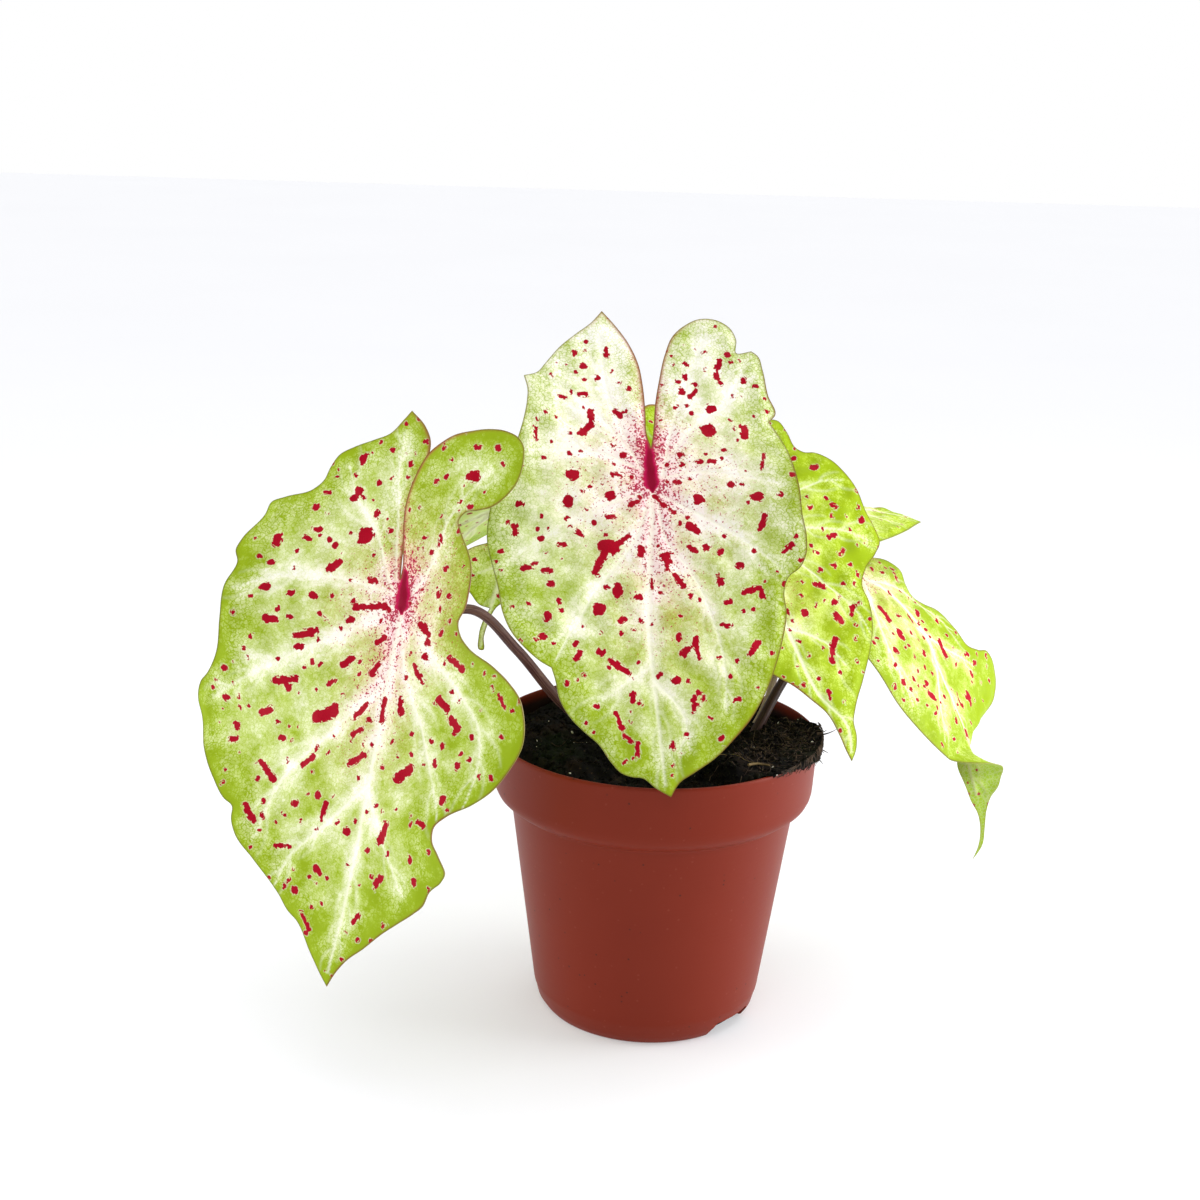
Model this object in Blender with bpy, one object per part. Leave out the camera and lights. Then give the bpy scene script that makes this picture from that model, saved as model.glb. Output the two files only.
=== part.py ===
# A potted caladium: a twelve-centimetre nursery pot, its soil, a tuber, and seven leaves on their stalks.
# Lengths here are millimetres, and the mesh helpers turn them into metres.
# The origin is the centre of the pot's underside, with +Z up, +X right and -Y towards the fullest view.
import math

import bpy
import numpy as np
from mathutils import Vector
from mathutils.geometry import delaunay_2d_cdt

METRES = 0.001
GAP = 0.3
SHARP_ANGLE = 40.0

POT_HEIGHT = 108.0
POT_RIM_RADIUS = 60.0
POT_BAND_HEIGHT = 26.0
POT_BODY_RADIUS = 52.6
POT_CHAMFER_RADIUS = 42.4
POT_CHAMFER_HEIGHT = 8.2
POT_BASE_RADIUS = 39.2
POT_WALL = 1.2
POT_FLOOR = 1.6
POT_SEGMENTS = 64
NOTCH_WIDTH = 22.0
NOTCH_HEIGHT = 5.4
NOTCH_REACH = 9.0
NOTCH_OVERCUT = 4.0
NOTCH_SLOPES = (2.6, 0.7, 2.0)
NOTCH_AZIMUTHS = (-39.0, 141.0)
DRAIN_RADIUS = 3.5
DRAIN_CIRCLE = 24.0
DRAIN_COUNT = 4
DRAIN_TURN = 6.0
DRAIN_SEGMENTS = 16

SOIL_LEVEL = 101.5
SOIL_SEGMENTS = 48
CLUMP_AZIMUTH = -20.0
CLUMP_HALF_WIDTH = 42.0
CLUMP_TOP = 109.0
CLUMP_REACH = 61.4
CLUMP_HANG = 4.0
CLUMP_HANG_RUN = (28.0, 34.0)
CLUMP_BREAST = (14.0, 30.0)
# From this radius outwards the clump has hardly any bumps, so that it clears the rim.
CLUMP_CALM = 50.0

TUBER_CENTRE = (4.0, 4.0, 62.0)
TUBER_RADII = (27.0, 22.0, 14.0)
TUBER_SEGMENTS = 20
TUBER_RINGS = 10

BLADE_THICKNESS = 0.7
BLADE_EDGE_STEP = 6.0
BLADE_GRID_STEP = 9.5
BLADE_GRID_MARGIN = 0.55
ARCH_REACH = 50.0
LOBE_EASE = 25.0
MIDRIB_STEPS = 921
MIDRIB_REACH = 1.3
STALK_SIDES = 10
STALK_STEP = 9.0
STALK_REST = 0.5
STALK_SINK = 3.0
STALK_FOOT_GAP = 1.5
STALK_FOOT_RISE = 4.0
STALK_HEAD_RUN = 12.0

# Each leaf lies on a curved sheet. Its midrib starts at the attachment, where the stalk meets the blade,
# and runs to the tip: x is the distance right of the midrib and s the distance along it.
# The heading is the compass angle of the midrib from +X, and the pitch its fall below the horizontal there.
# The droop is how much the pitch grows towards the tip, and the bank rolls the right side up.
# The arch lowers both halves, in mm at 50 mm out, and a wave is (side, s, width, height at 50 mm out).
# The runs are the outline from the sinus round the left side and the tip to the sinus again. Where two runs
# meet, the margin has a corner.
LEAVES = {
    "left": {
        "attach": (-87.7, -45.0, 165.7), "heading": -122.8, "pitch": 63.6, "length": 132.0, "droop": 16.0,
        "arch": (-5.0, -5.0),
        "lobes": (-3.0, 4.0),
        "sinus": ((-9, -4.6), (-16, -6.2), (-27, -9.2), (-42, -10), (-52, -8.5), (-60, -6)),
        "waves": ((-1, 12, 22, 5), (1, -2, 13, 9), (-1, 95, 18, 6), (1, 72, 10, 10), (1, 40, 18, -5),
                  (-1, 55, 16, -5), (1, -42, 14, -5)),
        "runs": (
            ((-4.6, -9), (-6.2, -14), (-8.4, -21), (-10.6, -28), (-12, -35), (-11.5, -44), (-10, -52),
             (-11, -58), (-15, -63), (-22, -67.5)),
            ((-22, -67.5), (-24, -64), (-28, -58), (-33, -55), (-40, -51), (-45, -47), (-47, -42), (-48, -37),
             (-51, -33), (-60, -28), (-64, -25), (-64, -20), (-67, -9), (-67, -5), (-64.5, -1), (-65, 8),
             (-64, 19), (-65, 31), (-69, 38), (-73, 42), (-76, 49), (-74, 55), (-70, 62), (-64, 68),
             (-58, 73), (-51, 78.5), (-47, 80.5), (-46, 84), (-43, 89), (-35, 96), (-24, 106), (-20, 110.5),
             (-16, 113), (-9, 122), (-3, 129), (0, 132)),
            ((0, 132), (2, 128), (6.5, 121.5), (13.5, 115), (20.5, 108), (27, 102.5), (33, 97.5), (36.5, 94),
             (38.5, 89), (44, 84), (47.5, 79), (45, 75), (40, 71), (38.5, 67), (41, 63.5), (49, 57.5),
             (54, 52), (58, 43), (60.5, 35), (60.5, 28), (58, 21), (53, 17), (46, 13.5), (32, 8.5),
             (28.5, 6), (26, 1.5), (27.5, -3), (26, -11), (24, -18), (17, -28)),
            ((17, -28), (15, -31.5), (16.5, -34.5), (21, -36), (26, -38), (31, -43), (34, -49), (34.5, -55),
             (33, -60), (30, -62.5), (25, -64), (17, -64), (10, -62.5), (3, -60), (-1.5, -56.5), (-5, -52.5),
             (-7.5, -45), (-8.4, -36), (-7.6, -28), (-6.4, -20.5), (-5.1, -14), (-4.6, -9)),
        ),
    },
    "middle": {
        "attach": (-4.6, -12.0, 202.2), "heading": -81.1, "pitch": 48.8, "length": 109.8, "droop": 20.0,
        "arch": (-3.0, -3.0),
        "waves": ((-1, 20, 16, -5), (1, 10, 16, 5), (-1, 70, 14, 5), (1, 60, 14, -5), (-1, -30, 14, 5),
                  (1, -25, 14, -4)),
        "runs": (
            ((1, -15.5), (0, -20), (0.2, -30), (0.2, -40), (-0.8, -50), (-3.7, -58.5), (-8, -66), (-12.3, -72)),
            ((-12.3, -72), (-16.5, -67), (-22.5, -62), (-29, -56), (-34.5, -49), (-38, -44.5), (-42.8, -42.5)),
            ((-42.8, -42.5), (-42, -37), (-42.6, -31), (-44.5, -23), (-46.5, -17), (-49, -10), (-53, -2),
             (-57, 8), (-58.5, 18), (-57.5, 28), (-56, 38), (-55, 47), (-52.5, 54), (-48, 60), (-43, 64.5),
             (-39.5, 66.5)),
            ((-39.5, 66.5), (-38.5, 70), (-37, 77), (-33, 83.5), (-29, 87.5), (-24, 92), (-20, 98),
             (-16.5, 101.7), (-13, 103), (-9.5, 103.5), (-5, 107), (0, 110)),
            ((0, 110), (3, 105.5), (8.5, 102), (15.5, 97.5), (22, 91.5), (28, 85), (33.5, 76.5), (37.7, 68),
             (41.2, 58.5), (43.3, 48), (42.8, 41), (44.5, 36), (49, 32.5), (51.2, 28), (51.5, 22), (50.5, 15),
             (50.6, 5), (50.4, -5), (49.4, -14.5), (47, -22), (45, -26)),
            ((45, -26), (47.6, -29), (45.5, -36), (44.3, -46), (43, -52), (41, -54)),
            ((41, -54), (35.5, -53.5), (36, -59), (34.3, -64), (29, -68), (23.5, -68.5), (17.5, -65.7),
             (13, -61.5), (9.3, -53.5), (6.2, -42.5), (4, -33), (2.7, -24), (1.6, -18), (1, -15.5)),
        ),
    },
    "right": {
        "attach": (30.0, 22.0, 179.6), "heading": -44.5, "pitch": 42.7, "length": 94.6, "droop": 20.0,
        "bank": 14.0, "arch": (-2.0, -2.0),
        "waves": ((1, 20, 14, -4), (1, 55, 12, 4), (-1, 30, 14, -3)),
        "runs": (
            ((2, -9), (4, -21), (6, -34), (6, -46), (2, -56), (-5, -60), (-13, -57), (-19, -48), (-23, -34),
             (-27, -14), (-32, 5), (-34, 20), (-33, 33), (-27, 46), (-18, 57), (-12.5, 62.5), (-7.5, 69.5),
             (-3.3, 76), (-1.4, 85), (-0.8, 91), (0, 95)),
            ((0, 95), (3, 92), (5.5, 87), (6.3, 82), (9.5, 77), (17, 68.5), (24, 60), (30, 50.5), (33, 43),
             (34, 37), (40, 31), (48, 27), (54, 22.5), (55, 17.5), (54.3, 10), (54.8, 2), (54, -5),
             (51.5, -13), (47, -18), (43.5, -19.5), (41.5, -22), (42, -30), (41.5, -35.5),
             (36, -38), (27, -33), (17, -23), (8, -13), (2, -9)),
        ),
    },
    "far_right": {
        "attach": (80.2, 58.0, 152.3), "heading": -20.0, "pitch": 37.0, "length": 123.0, "droop": 50.0,
        "arch": (11.0, -4.0), "twist": (-112.0, 0.62, 0.78),
        "waves": ((1, 22, 8, -4), (1, 50, 10, 4), (-1, 30, 14, 3)),
        "runs": (
            ((2, -8), (-5, -13), (-13, -18), (-22, -17), (-29, -9), (-34, 3), (-38, 14), (-41, 26), (-41, 39),
             (-37, 54), (-30, 68), (-21, 79), (-14, 86), (-10, 93.5), (-8, 98), (-4.5, 101.8), (-2.3, 107),
             (-1.2, 114), (-0.2, 121), (3.5, 127.5)),
            ((3.5, 127.5), (1.4, 121.5), (0.6, 115), (1.2, 108), (3.4, 102), (4.4, 97), (5.8, 91), (9, 85.5),
             (15, 81.5), (24, 79), (36, 77.5), (48, 75), (55, 69.5), (56.5, 63.5), (52, 57.5), (44, 54), (37.5, 49),
             (38.3, 41), (37, 31), (32, 25.5), (28, 19), (29.5, 15), (34, 9.5), (32, 4), (22, -3),
             (12, -8), (2, -8)),
        ),
    },
    "back_right": {
        "attach": (49.3, 74.0, 173.8), "heading": 22.0, "pitch": -3.5, "length": 64.7, "droop": 22.0,
        "bank": 4.0, "arch": (8.0, 36.0),
        "waves": (),
        "runs": (
            ((0, -8), (-5, -17), (-11, -25), (-18, -27), (-26, -21), (-31, -9), (-34, 6), (-34, 22),
             (-28, 35), (-20, 46), (-9, 57), (0, 65)),
            ((0, 65), (9, 55), (17, 42), (24, 28), (29, 13), (30, -2), (27, -14), (22, -23), (16, -27),
             (10, -23), (5, -16), (0, -8)),
        ),
    },
    "small": {
        "attach": (-57.2, 34.0, 162.2), "heading": -100.0, "pitch": 55.0, "length": 34.0, "droop": 14.0,
        "arch": (5.0, 5.0),
        "waves": (),
        "runs": (
            ((0, -3), (-4, -6), (-10, -5), (-16, -2), (-19, 3), (-17, 10), (-12, 15), (-8, 19), (-4, 20)),
            ((-4, 20), (-6, 25), (-7, 31), (-6, 36), (-5, 36), (-5, 31), (-4, 26), (-1, 19), (4, 16),
             (9, 11), (10, 3), (7, -4), (3, -6), (0, -3)),
        ),
    },
    "back_left": {
        "attach": (-42.0, 52.0, 186.0), "heading": 136.6, "pitch": 19.0, "length": 71.1, "droop": 30.0,
        "arch": (5.0, 5.0),
        "waves": ((1, 20, 12, 4), (-1, 25, 12, -4)),
        "runs": (
            ((0, -8), (-5, -19), (-12, -29), (-20, -31), (-28, -23), (-32, -9), (-34, 6), (-32, 22),
             (-27, 38), (-19, 52), (-9, 64), (0, 71)),
            ((0, 71), (9, 62), (18, 50), (25, 36), (29, 22), (30, 6), (28, -10), (24, -22), (17, -30),
             (11, -27), (5, -18), (0, -8)),
        ),
    },
}

# Each stalk rises from the tuber through these points and meets its blade square on, from below.
STALKS = {
    "left": {"radii": (2.3, 1.6), "path": ((-12, -1), (-20, 8, 99), (-37, -1, 120), (-51, -12, 141),
                                           (-66, -23, 158.5))},
    "middle": {"radii": (2.3, 1.6), "path": ((2, 6), (1, 6, 101), (-2, 2, 150))},
    "right": {"radii": (2.0, 1.5), "path": ((12, 12), (18, 14, 101), (23, 24, 140))},
    "far_right": {"radii": (2.1, 1.5), "path": ((20, 2), (36, 3, 104), (46, 14, 120), (58, 36, 130))},
    "back_right": {"radii": (1.4, 1.1), "path": ((17, 13), (39, 18, 105), (45, 25, 119), (47, 48, 150))},
    "small": {"radii": (1.4, 1.0), "path": ((-12, 10), (-20, 20, 101), (-42, 30, 140))},
    "back_left": {"radii": (2.0, 1.4), "path": ((-6, 14), (-9, 19, 101), (-24, 34, 145))},
}

COLOURS = {
    "pot": ((0.30, 0.075, 0.045, 1.0), 0.45),
    "soil": ((0.02, 0.014, 0.01, 1.0), 0.95),
    "tuber": ((0.10, 0.05, 0.03, 1.0), 0.9),
    "blade": ((0.62, 0.75, 0.33, 1.0), 0.5),
    "petiole": ((0.09, 0.035, 0.035, 1.0), 0.45),
}


def clear_scene():
    for item in list(bpy.data.objects):
        bpy.data.objects.remove(item, do_unlink=True)


def material_for(name, kind):
    colour, roughness = COLOURS[kind]
    material = bpy.data.materials.new(name)
    material.use_nodes = True
    shader = material.node_tree.nodes["Principled BSDF"]
    shader.inputs["Base Color"].default_value = colour
    shader.inputs["Roughness"].default_value = roughness
    shader.inputs["Metallic"].default_value = 0.0
    return material


def make_object(name, points, faces, kind=None):
    mesh = bpy.data.meshes.new(name)
    mesh.from_pydata([tuple(p) for p in np.asarray(points, float) * METRES], [], faces)
    mesh.validate()
    item = bpy.data.objects.new(name, mesh)
    bpy.context.scene.collection.objects.link(item)
    if kind:
        mesh.materials.append(material_for(name, kind))
        mesh.shade_smooth()
        mesh.set_sharp_from_angle(angle=math.radians(SHARP_ANGLE))
    else:
        item.hide_render = True
        item.display_type = "WIRE"
    return item


def cut(item, cutter):
    step = item.modifiers.new("cut_" + cutter.name, "BOOLEAN")
    step.operation = "DIFFERENCE"
    step.solver = "EXACT"
    step.object = cutter


def smooth_run(points, step):
    """A smooth curve through the points, read at about this step."""
    p = np.array(points, float)
    gaps = np.linalg.norm(np.diff(p, axis=0), axis=1)
    t = np.concatenate([[0.0], np.cumsum(gaps)])
    slope = np.gradient(p, t, axis=0)
    count = max(2, int(round(t[-1] / step)) + 1)
    at = np.linspace(0.0, t[-1], count)
    i = np.clip(np.searchsorted(t, at, side="right") - 1, 0, len(p) - 2)
    width = (t[i + 1] - t[i])[:, None]
    u = ((at - t[i]) / (t[i + 1] - t[i]))[:, None]
    start = (1 + 2 * u) * (1 - u) ** 2 * p[i] + u * (1 - u) ** 2 * width * slope[i]
    end = u * u * (3 - 2 * u) * p[i + 1] + u * u * (u - 1) * width * slope[i + 1]
    return start + end


def ease(t):
    t = np.clip(t, 0.0, 1.0)
    return t * t * (3.0 - 2.0 * t)


def blade_axes(leaf, s):
    """Unit vectors along the midrib, up from the sheet and across it to the right."""
    t = s / leaf["length"]
    pitch = np.radians(leaf["pitch"] + leaf["droop"] * np.maximum(t, 0.0))
    heading = math.radians(leaf["heading"])
    turn, start, end = leaf.get("twist", (0.0, 0.5, 1.0))
    bank = np.radians(leaf.get("bank", 0.0) + turn * ease((t - start) / (end - start)))[:, None]
    level = np.array([math.cos(heading), math.sin(heading), 0.0])
    upright = np.array([0.0, 0.0, 1.0])
    along = np.cos(pitch)[:, None] * level - np.sin(pitch)[:, None] * upright
    up = np.sin(pitch)[:, None] * level + np.cos(pitch)[:, None] * upright
    across = np.array([-math.sin(heading), math.cos(heading), 0.0])
    return along, up * np.cos(bank) - across * np.sin(bank), across * np.cos(bank) + up * np.sin(bank)


def midrib_points(leaf, s):
    """The midrib in space, summed along its falling course both ways from the attachment."""
    steps = np.linspace(-leaf["length"], MIDRIB_REACH * leaf["length"], MIDRIB_STEPS)
    along = blade_axes(leaf, steps)[0]
    course = np.zeros((len(steps), 3))
    course[1:] = np.cumsum((along[1:] + along[:-1]) / 2.0 * (steps[1] - steps[0]), axis=0)
    start = [np.interp(0.0, steps, course[:, k]) for k in range(3)]
    places = np.stack([np.interp(s, steps, course[:, k]) for k in range(3)], axis=1)
    return places - start + np.array(leaf["attach"])


def blade_height(leaf, x, s):
    """How far the sheet rises above its midrib: arch, waved margins and lifted lobes."""
    left, right = leaf["arch"]
    height = -np.where(x < 0, left, right) * (x / ARCH_REACH) ** 2
    for side, place, width, rise in leaf["waves"]:
        swell = np.maximum(side * x / ARCH_REACH, 0.0) ** 2
        height = height + rise * swell * np.exp(-((s - place) / width) ** 2)
    if "lobes" in leaf:
        sinus = np.array(leaf["sinus"], float)
        middle = np.interp(-s, -sinus[:, 0], sinus[:, 1])
        lift = np.where(x < middle, leaf["lobes"][0], leaf["lobes"][1])
        height = height + lift * ease((sinus[0, 0] - s) / LOBE_EASE)
    return height


def blade_points(leaf, x, s):
    along, up, across = blade_axes(leaf, s)
    return midrib_points(leaf, s) + x[:, None] * across + blade_height(leaf, x, s)[:, None] * up


def inside(outline, points):
    """Which points the closed outline holds."""
    held = np.zeros(len(points), bool)
    ahead = np.roll(outline, -1, axis=0)
    for (x0, y0), (x1, y1) in zip(outline, ahead):
        crosses = (y0 > points[:, 1]) != (y1 > points[:, 1])
        level = np.where(y1 == y0, 1.0, y1 - y0)
        held ^= crosses & (points[:, 0] < (x1 - x0) * (points[:, 1] - y0) / level + x0)
    return held


def flat_blade(leaf):
    """The blade laid flat: its points in (x, s) and its triangles."""
    outline = np.concatenate([smooth_run(run, BLADE_EDGE_STEP)[:-1] for run in leaf["runs"]])
    low = outline.min(axis=0)
    high = outline.max(axis=0)
    rows = []
    row_step = BLADE_GRID_STEP * math.sqrt(3.0) / 2.0
    for number, s in enumerate(np.arange(low[1], high[1], row_step)):
        shift = 0.5 * BLADE_GRID_STEP * (number % 2)
        rows.append([(x + shift, s) for x in np.arange(low[0], high[0], BLADE_GRID_STEP)])
    grid = np.array([point for row in rows for point in row])
    grid = grid[inside(outline, grid)]
    nearest = np.min(np.linalg.norm(grid[:, None, :] - outline[None, :, :], axis=2), axis=1)
    grid = grid[nearest > BLADE_GRID_MARGIN * BLADE_GRID_STEP]
    points = [Vector(p) for p in np.concatenate([outline, grid])]
    border = list(range(len(outline)))
    result = delaunay_2d_cdt(points, [], [border], 1, 1e-5)
    return np.array([tuple(p) for p in result[0]]), [tuple(face) for face in result[2]]


def sheet_normals(points, faces):
    corners = points[np.array(faces)]
    facing = np.cross(corners[:, 1] - corners[:, 0], corners[:, 2] - corners[:, 0])
    normals = np.zeros_like(points)
    for k in range(3):
        np.add.at(normals, np.array(faces)[:, k], facing)
    return normals / np.linalg.norm(normals, axis=1)[:, None]


def border_edges(faces):
    edges = {}
    for a, b, c in faces:
        for edge in ((a, b), (b, c), (c, a)):
            edges[edge] = True
    return [edge for edge in edges if (edge[1], edge[0]) not in edges]


def make_blade(name, leaf):
    flat, faces = flat_blade(leaf)
    middle = blade_points(leaf, flat[:, 0], flat[:, 1])
    normals = sheet_normals(middle, faces)
    half = 0.5 * BLADE_THICKNESS
    count = len(middle)
    points = np.concatenate([middle + half * normals, middle - half * normals])
    solid = list(faces)
    solid += [(c + count, b + count, a + count) for a, b, c in faces]
    for a, b in border_edges(faces):
        solid += [(b, a, a + count), (b, a + count, b + count)]
    return make_object("blade_" + name, points, solid, "blade")


def tuber_top(x, y):
    """The height of the tuber's upper side over a point."""
    u = (x - TUBER_CENTRE[0]) / TUBER_RADII[0]
    v = (y - TUBER_CENTRE[1]) / TUBER_RADII[1]
    return TUBER_CENTRE[2] + TUBER_RADII[2] * math.sqrt(1.0 - u * u - v * v)


def stalk_path(name):
    """The stalk's centre line, from just above the tuber to just below the blade."""
    leaf = LEAVES[name]
    root, *way = STALKS[name]["path"]
    foot = tuber_top(*root) + STALK_FOOT_GAP
    up = blade_axes(leaf, np.zeros(1))[1][0]
    end = np.array(leaf["attach"]) - up * (0.5 * BLADE_THICKNESS + STALK_REST)
    route = [(*root, foot), (*root, foot + STALK_FOOT_RISE), *way]
    route += [tuple(end - STALK_HEAD_RUN * up), tuple(end)]
    return smooth_run(route, STALK_STEP)


def tube(path, radii):
    """Points and faces of a round bar along the path, closed at both ends."""
    count = len(path)
    tangents = np.gradient(path, axis=0)
    tangents /= np.linalg.norm(tangents, axis=1)[:, None]
    side = np.cross(tangents[0], (0.0, 1.0, 0.2))
    points = []
    for k in range(count):
        side = side - tangents[k] * np.dot(side, tangents[k])
        side = side / np.linalg.norm(side)
        other = np.cross(tangents[k], side)
        for angle in np.arange(STALK_SIDES) * 2.0 * math.pi / STALK_SIDES:
            points.append(path[k] + radii[k] * (math.cos(angle) * side + math.sin(angle) * other))
    faces = [tuple(range(STALK_SIDES))[::-1]]
    faces.append(tuple(range((count - 1) * STALK_SIDES, count * STALK_SIDES)))
    for k in range(count - 1):
        for j in range(STALK_SIDES):
            a = k * STALK_SIDES + j
            b = k * STALK_SIDES + (j + 1) % STALK_SIDES
            faces.append((a, b, b + STALK_SIDES, a + STALK_SIDES))
    return np.array(points), faces


def stalk_radii(name, path):
    low, high = STALKS[name]["radii"]
    return low + (high - low) * np.linspace(0.0, 1.0, len(path))


def make_petiole(name):
    path = stalk_path(name)
    points, faces = tube(path, stalk_radii(name, path))
    return make_object("petiole_" + name, points, faces, "petiole")


def make_stalk_hole(name):
    path = stalk_path(name)
    radii = stalk_radii(name, path) + GAP
    path = np.vstack([path[0] - (0.0, 0.0, STALK_SINK), path])
    points, faces = tube(path, np.append(radii[0], radii))
    return make_object("hole_" + name, points, faces)


def lathe(profile, segments, shape=None):
    """Points and faces of a solid turned about Z: its profile starts and ends on the axis, bottom first."""
    rings = profile[1:-1]
    points = [(0.0, 0.0, profile[0][1])]
    for number, (radius, height) in enumerate(rings):
        for k in range(segments):
            angle = 2.0 * math.pi * k / segments
            r, z = shape(number, angle, radius, height) if shape else (radius, height)
            points.append((r * math.cos(angle), r * math.sin(angle), z))
    points.append((0.0, 0.0, profile[-1][1]))
    last = len(points) - 1
    faces = []
    for k in range(segments):
        after = (k + 1) % segments
        faces.append((0, 1 + after, 1 + k))
        for ring in range(len(rings) - 1):
            low = 1 + ring * segments
            high = low + segments
            faces.append((low + k, low + after, high + after, high + k))
        top = 1 + (len(rings) - 1) * segments
        faces.append((top + k, top + after, last))
    return np.array(points), faces


def pot_outside():
    """The outer half of the pot's profile, from the floor's middle to the lip."""
    band_low = POT_HEIGHT - POT_BAND_HEIGHT
    skirt = POT_RIM_RADIUS - 1.0
    return [
        (0.0, 0.0),
        (POT_BASE_RADIUS - 1.2, 0.0),
        (POT_BASE_RADIUS, 0.6),
        (POT_BASE_RADIUS + 1.9, 3.6),
        (POT_CHAMFER_RADIUS, POT_CHAMFER_HEIGHT),
        (POT_BODY_RADIUS, band_low),
        (POT_BODY_RADIUS + 1.6, band_low + 0.7),
        (skirt - 2.2, band_low + 2.6),
        (skirt - 0.5, band_low + 5.0),
        (skirt, band_low + 8.0),
        (POT_RIM_RADIUS, POT_HEIGHT - 1.0),
        (POT_RIM_RADIUS - 0.3, POT_HEIGHT - 0.2),
        (POT_RIM_RADIUS - 0.6, POT_HEIGHT),
    ]


def pot_inside(inset):
    """The inner half of the profile this far inside the outer face, from the lip to the floor's middle."""
    band_low = POT_HEIGHT - POT_BAND_HEIGHT
    skirt = POT_RIM_RADIUS - 1.0
    return [
        (POT_RIM_RADIUS - inset, POT_HEIGHT - 1.0),
        (skirt - inset, band_low + 8.0),
        (skirt - 0.5 - inset, band_low + 5.6),
        (skirt - 2.2 - inset, band_low + 3.6),
        (POT_BODY_RADIUS - inset, band_low + 1.6),
        (POT_CHAMFER_RADIUS - inset, POT_CHAMFER_HEIGHT + 0.4),
        (POT_BASE_RADIUS + 1.9 - inset - 0.3, 4.4),
        (POT_BASE_RADIUS - inset, POT_FLOOR),
        (0.0, POT_FLOOR),
    ]


def make_pot():
    lip = [(POT_RIM_RADIUS - POT_WALL + 0.2, POT_HEIGHT)]
    points, faces = lathe(pot_outside() + lip + pot_inside(POT_WALL), POT_SEGMENTS)
    pot = make_object("pot", points, faces, "pot")
    for azimuth in NOTCH_AZIMUTHS:
        cut(pot, make_notch(azimuth))
    for number in range(DRAIN_COUNT):
        cut(pot, make_drain(number))
    return pot


def make_notch(azimuth):
    """The cutter of a drain notch in the corner of wall and floor, with sloping ends."""
    half = 0.5 * NOTCH_WIDTH
    top, low, drop = NOTCH_SLOPES
    near = POT_BASE_RADIUS - NOTCH_REACH
    far = POT_CHAMFER_RADIUS + NOTCH_OVERCUT
    profile = [(-half, -1.0), (half, -1.0), (half - 0.4, NOTCH_HEIGHT - low), (half - drop, NOTCH_HEIGHT),
               (top - half, NOTCH_HEIGHT), (low - half, NOTCH_HEIGHT - drop)]
    turn = math.radians(azimuth)
    points = []
    for reach in (near, far):
        for side, z in profile:
            points.append((reach * math.cos(turn) - side * math.sin(turn),
                           reach * math.sin(turn) + side * math.cos(turn), z))
    count = len(profile)
    faces = [tuple(range(count))[::-1], tuple(range(count, 2 * count))]
    faces += [(k, (k + 1) % count, (k + 1) % count + count, k + count) for k in range(count)]
    return make_object("notch_%d" % (azimuth % 360), points, faces)


def make_drain(number):
    angle = math.radians(DRAIN_TURN) + 2.0 * math.pi * number / DRAIN_COUNT
    profile = [(0.0, -1.0), (DRAIN_RADIUS, -1.0), (DRAIN_RADIUS, POT_FLOOR + 1.0), (0.0, POT_FLOOR + 1.0)]
    points, faces = lathe(profile, DRAIN_SEGMENTS)
    centre = np.array([DRAIN_CIRCLE * math.cos(angle), DRAIN_CIRCLE * math.sin(angle), 0.0])
    return make_object("drain_%d" % number, points + centre, faces)


def clump_away(angle):
    """Degrees round the pot from the middle of the root-bound clump."""
    return (math.degrees(angle) - CLUMP_AZIMUTH + 180.0) % 360.0 - 180.0


def clump_share(angle):
    """One in the middle of the clump and nought at its ends."""
    return 1.0 - abs(clump_away(angle)) / CLUMP_HALF_WIDTH


def clump_hang(angle):
    """How far the clump hangs down outside the rim: further towards the right side."""
    start, run = CLUMP_HANG_RUN
    held = ease((clump_share(angle) - 0.42) / 0.2)
    return float(CLUMP_HANG * held * ease((clump_away(angle) + start) / run))


def soil_bump(angle, radius):
    return (0.9 * math.sin(3.0 * angle + 0.11 * radius) + 0.7 * math.sin(5.0 * angle - 0.17 * radius + 1.0)
            + 0.5 * math.cos(0.29 * radius + 7.0 * angle))


def soil_profile():
    """The soil's own profile: it fills the pot, a gap inside its wall, up to the surface rings."""
    wall = pot_inside(POT_WALL + GAP)[:-2][::-1]
    floor = POT_FLOOR + GAP
    inner = POT_RIM_RADIUS - POT_WALL - GAP
    below = [(0.0, floor), (POT_BASE_RADIUS - POT_WALL - GAP, floor)] + wall[:-1]
    lip = [(inner - 0.9, SOIL_LEVEL - drop) for drop in (2.0, 1.8, 1.6, 1.4)] + [(inner - 1.0, SOIL_LEVEL - 0.7)]
    surface = [(inner - 1.6, SOIL_LEVEL), (50.0, SOIL_LEVEL), (41.0, SOIL_LEVEL), (31.0, SOIL_LEVEL + 0.6),
               (20.0, SOIL_LEVEL + 1.0), (9.0, SOIL_LEVEL + 1.2)]
    return below + lip + surface + [(0.0, SOIL_LEVEL + 1.4)], len(below) - 1


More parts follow.
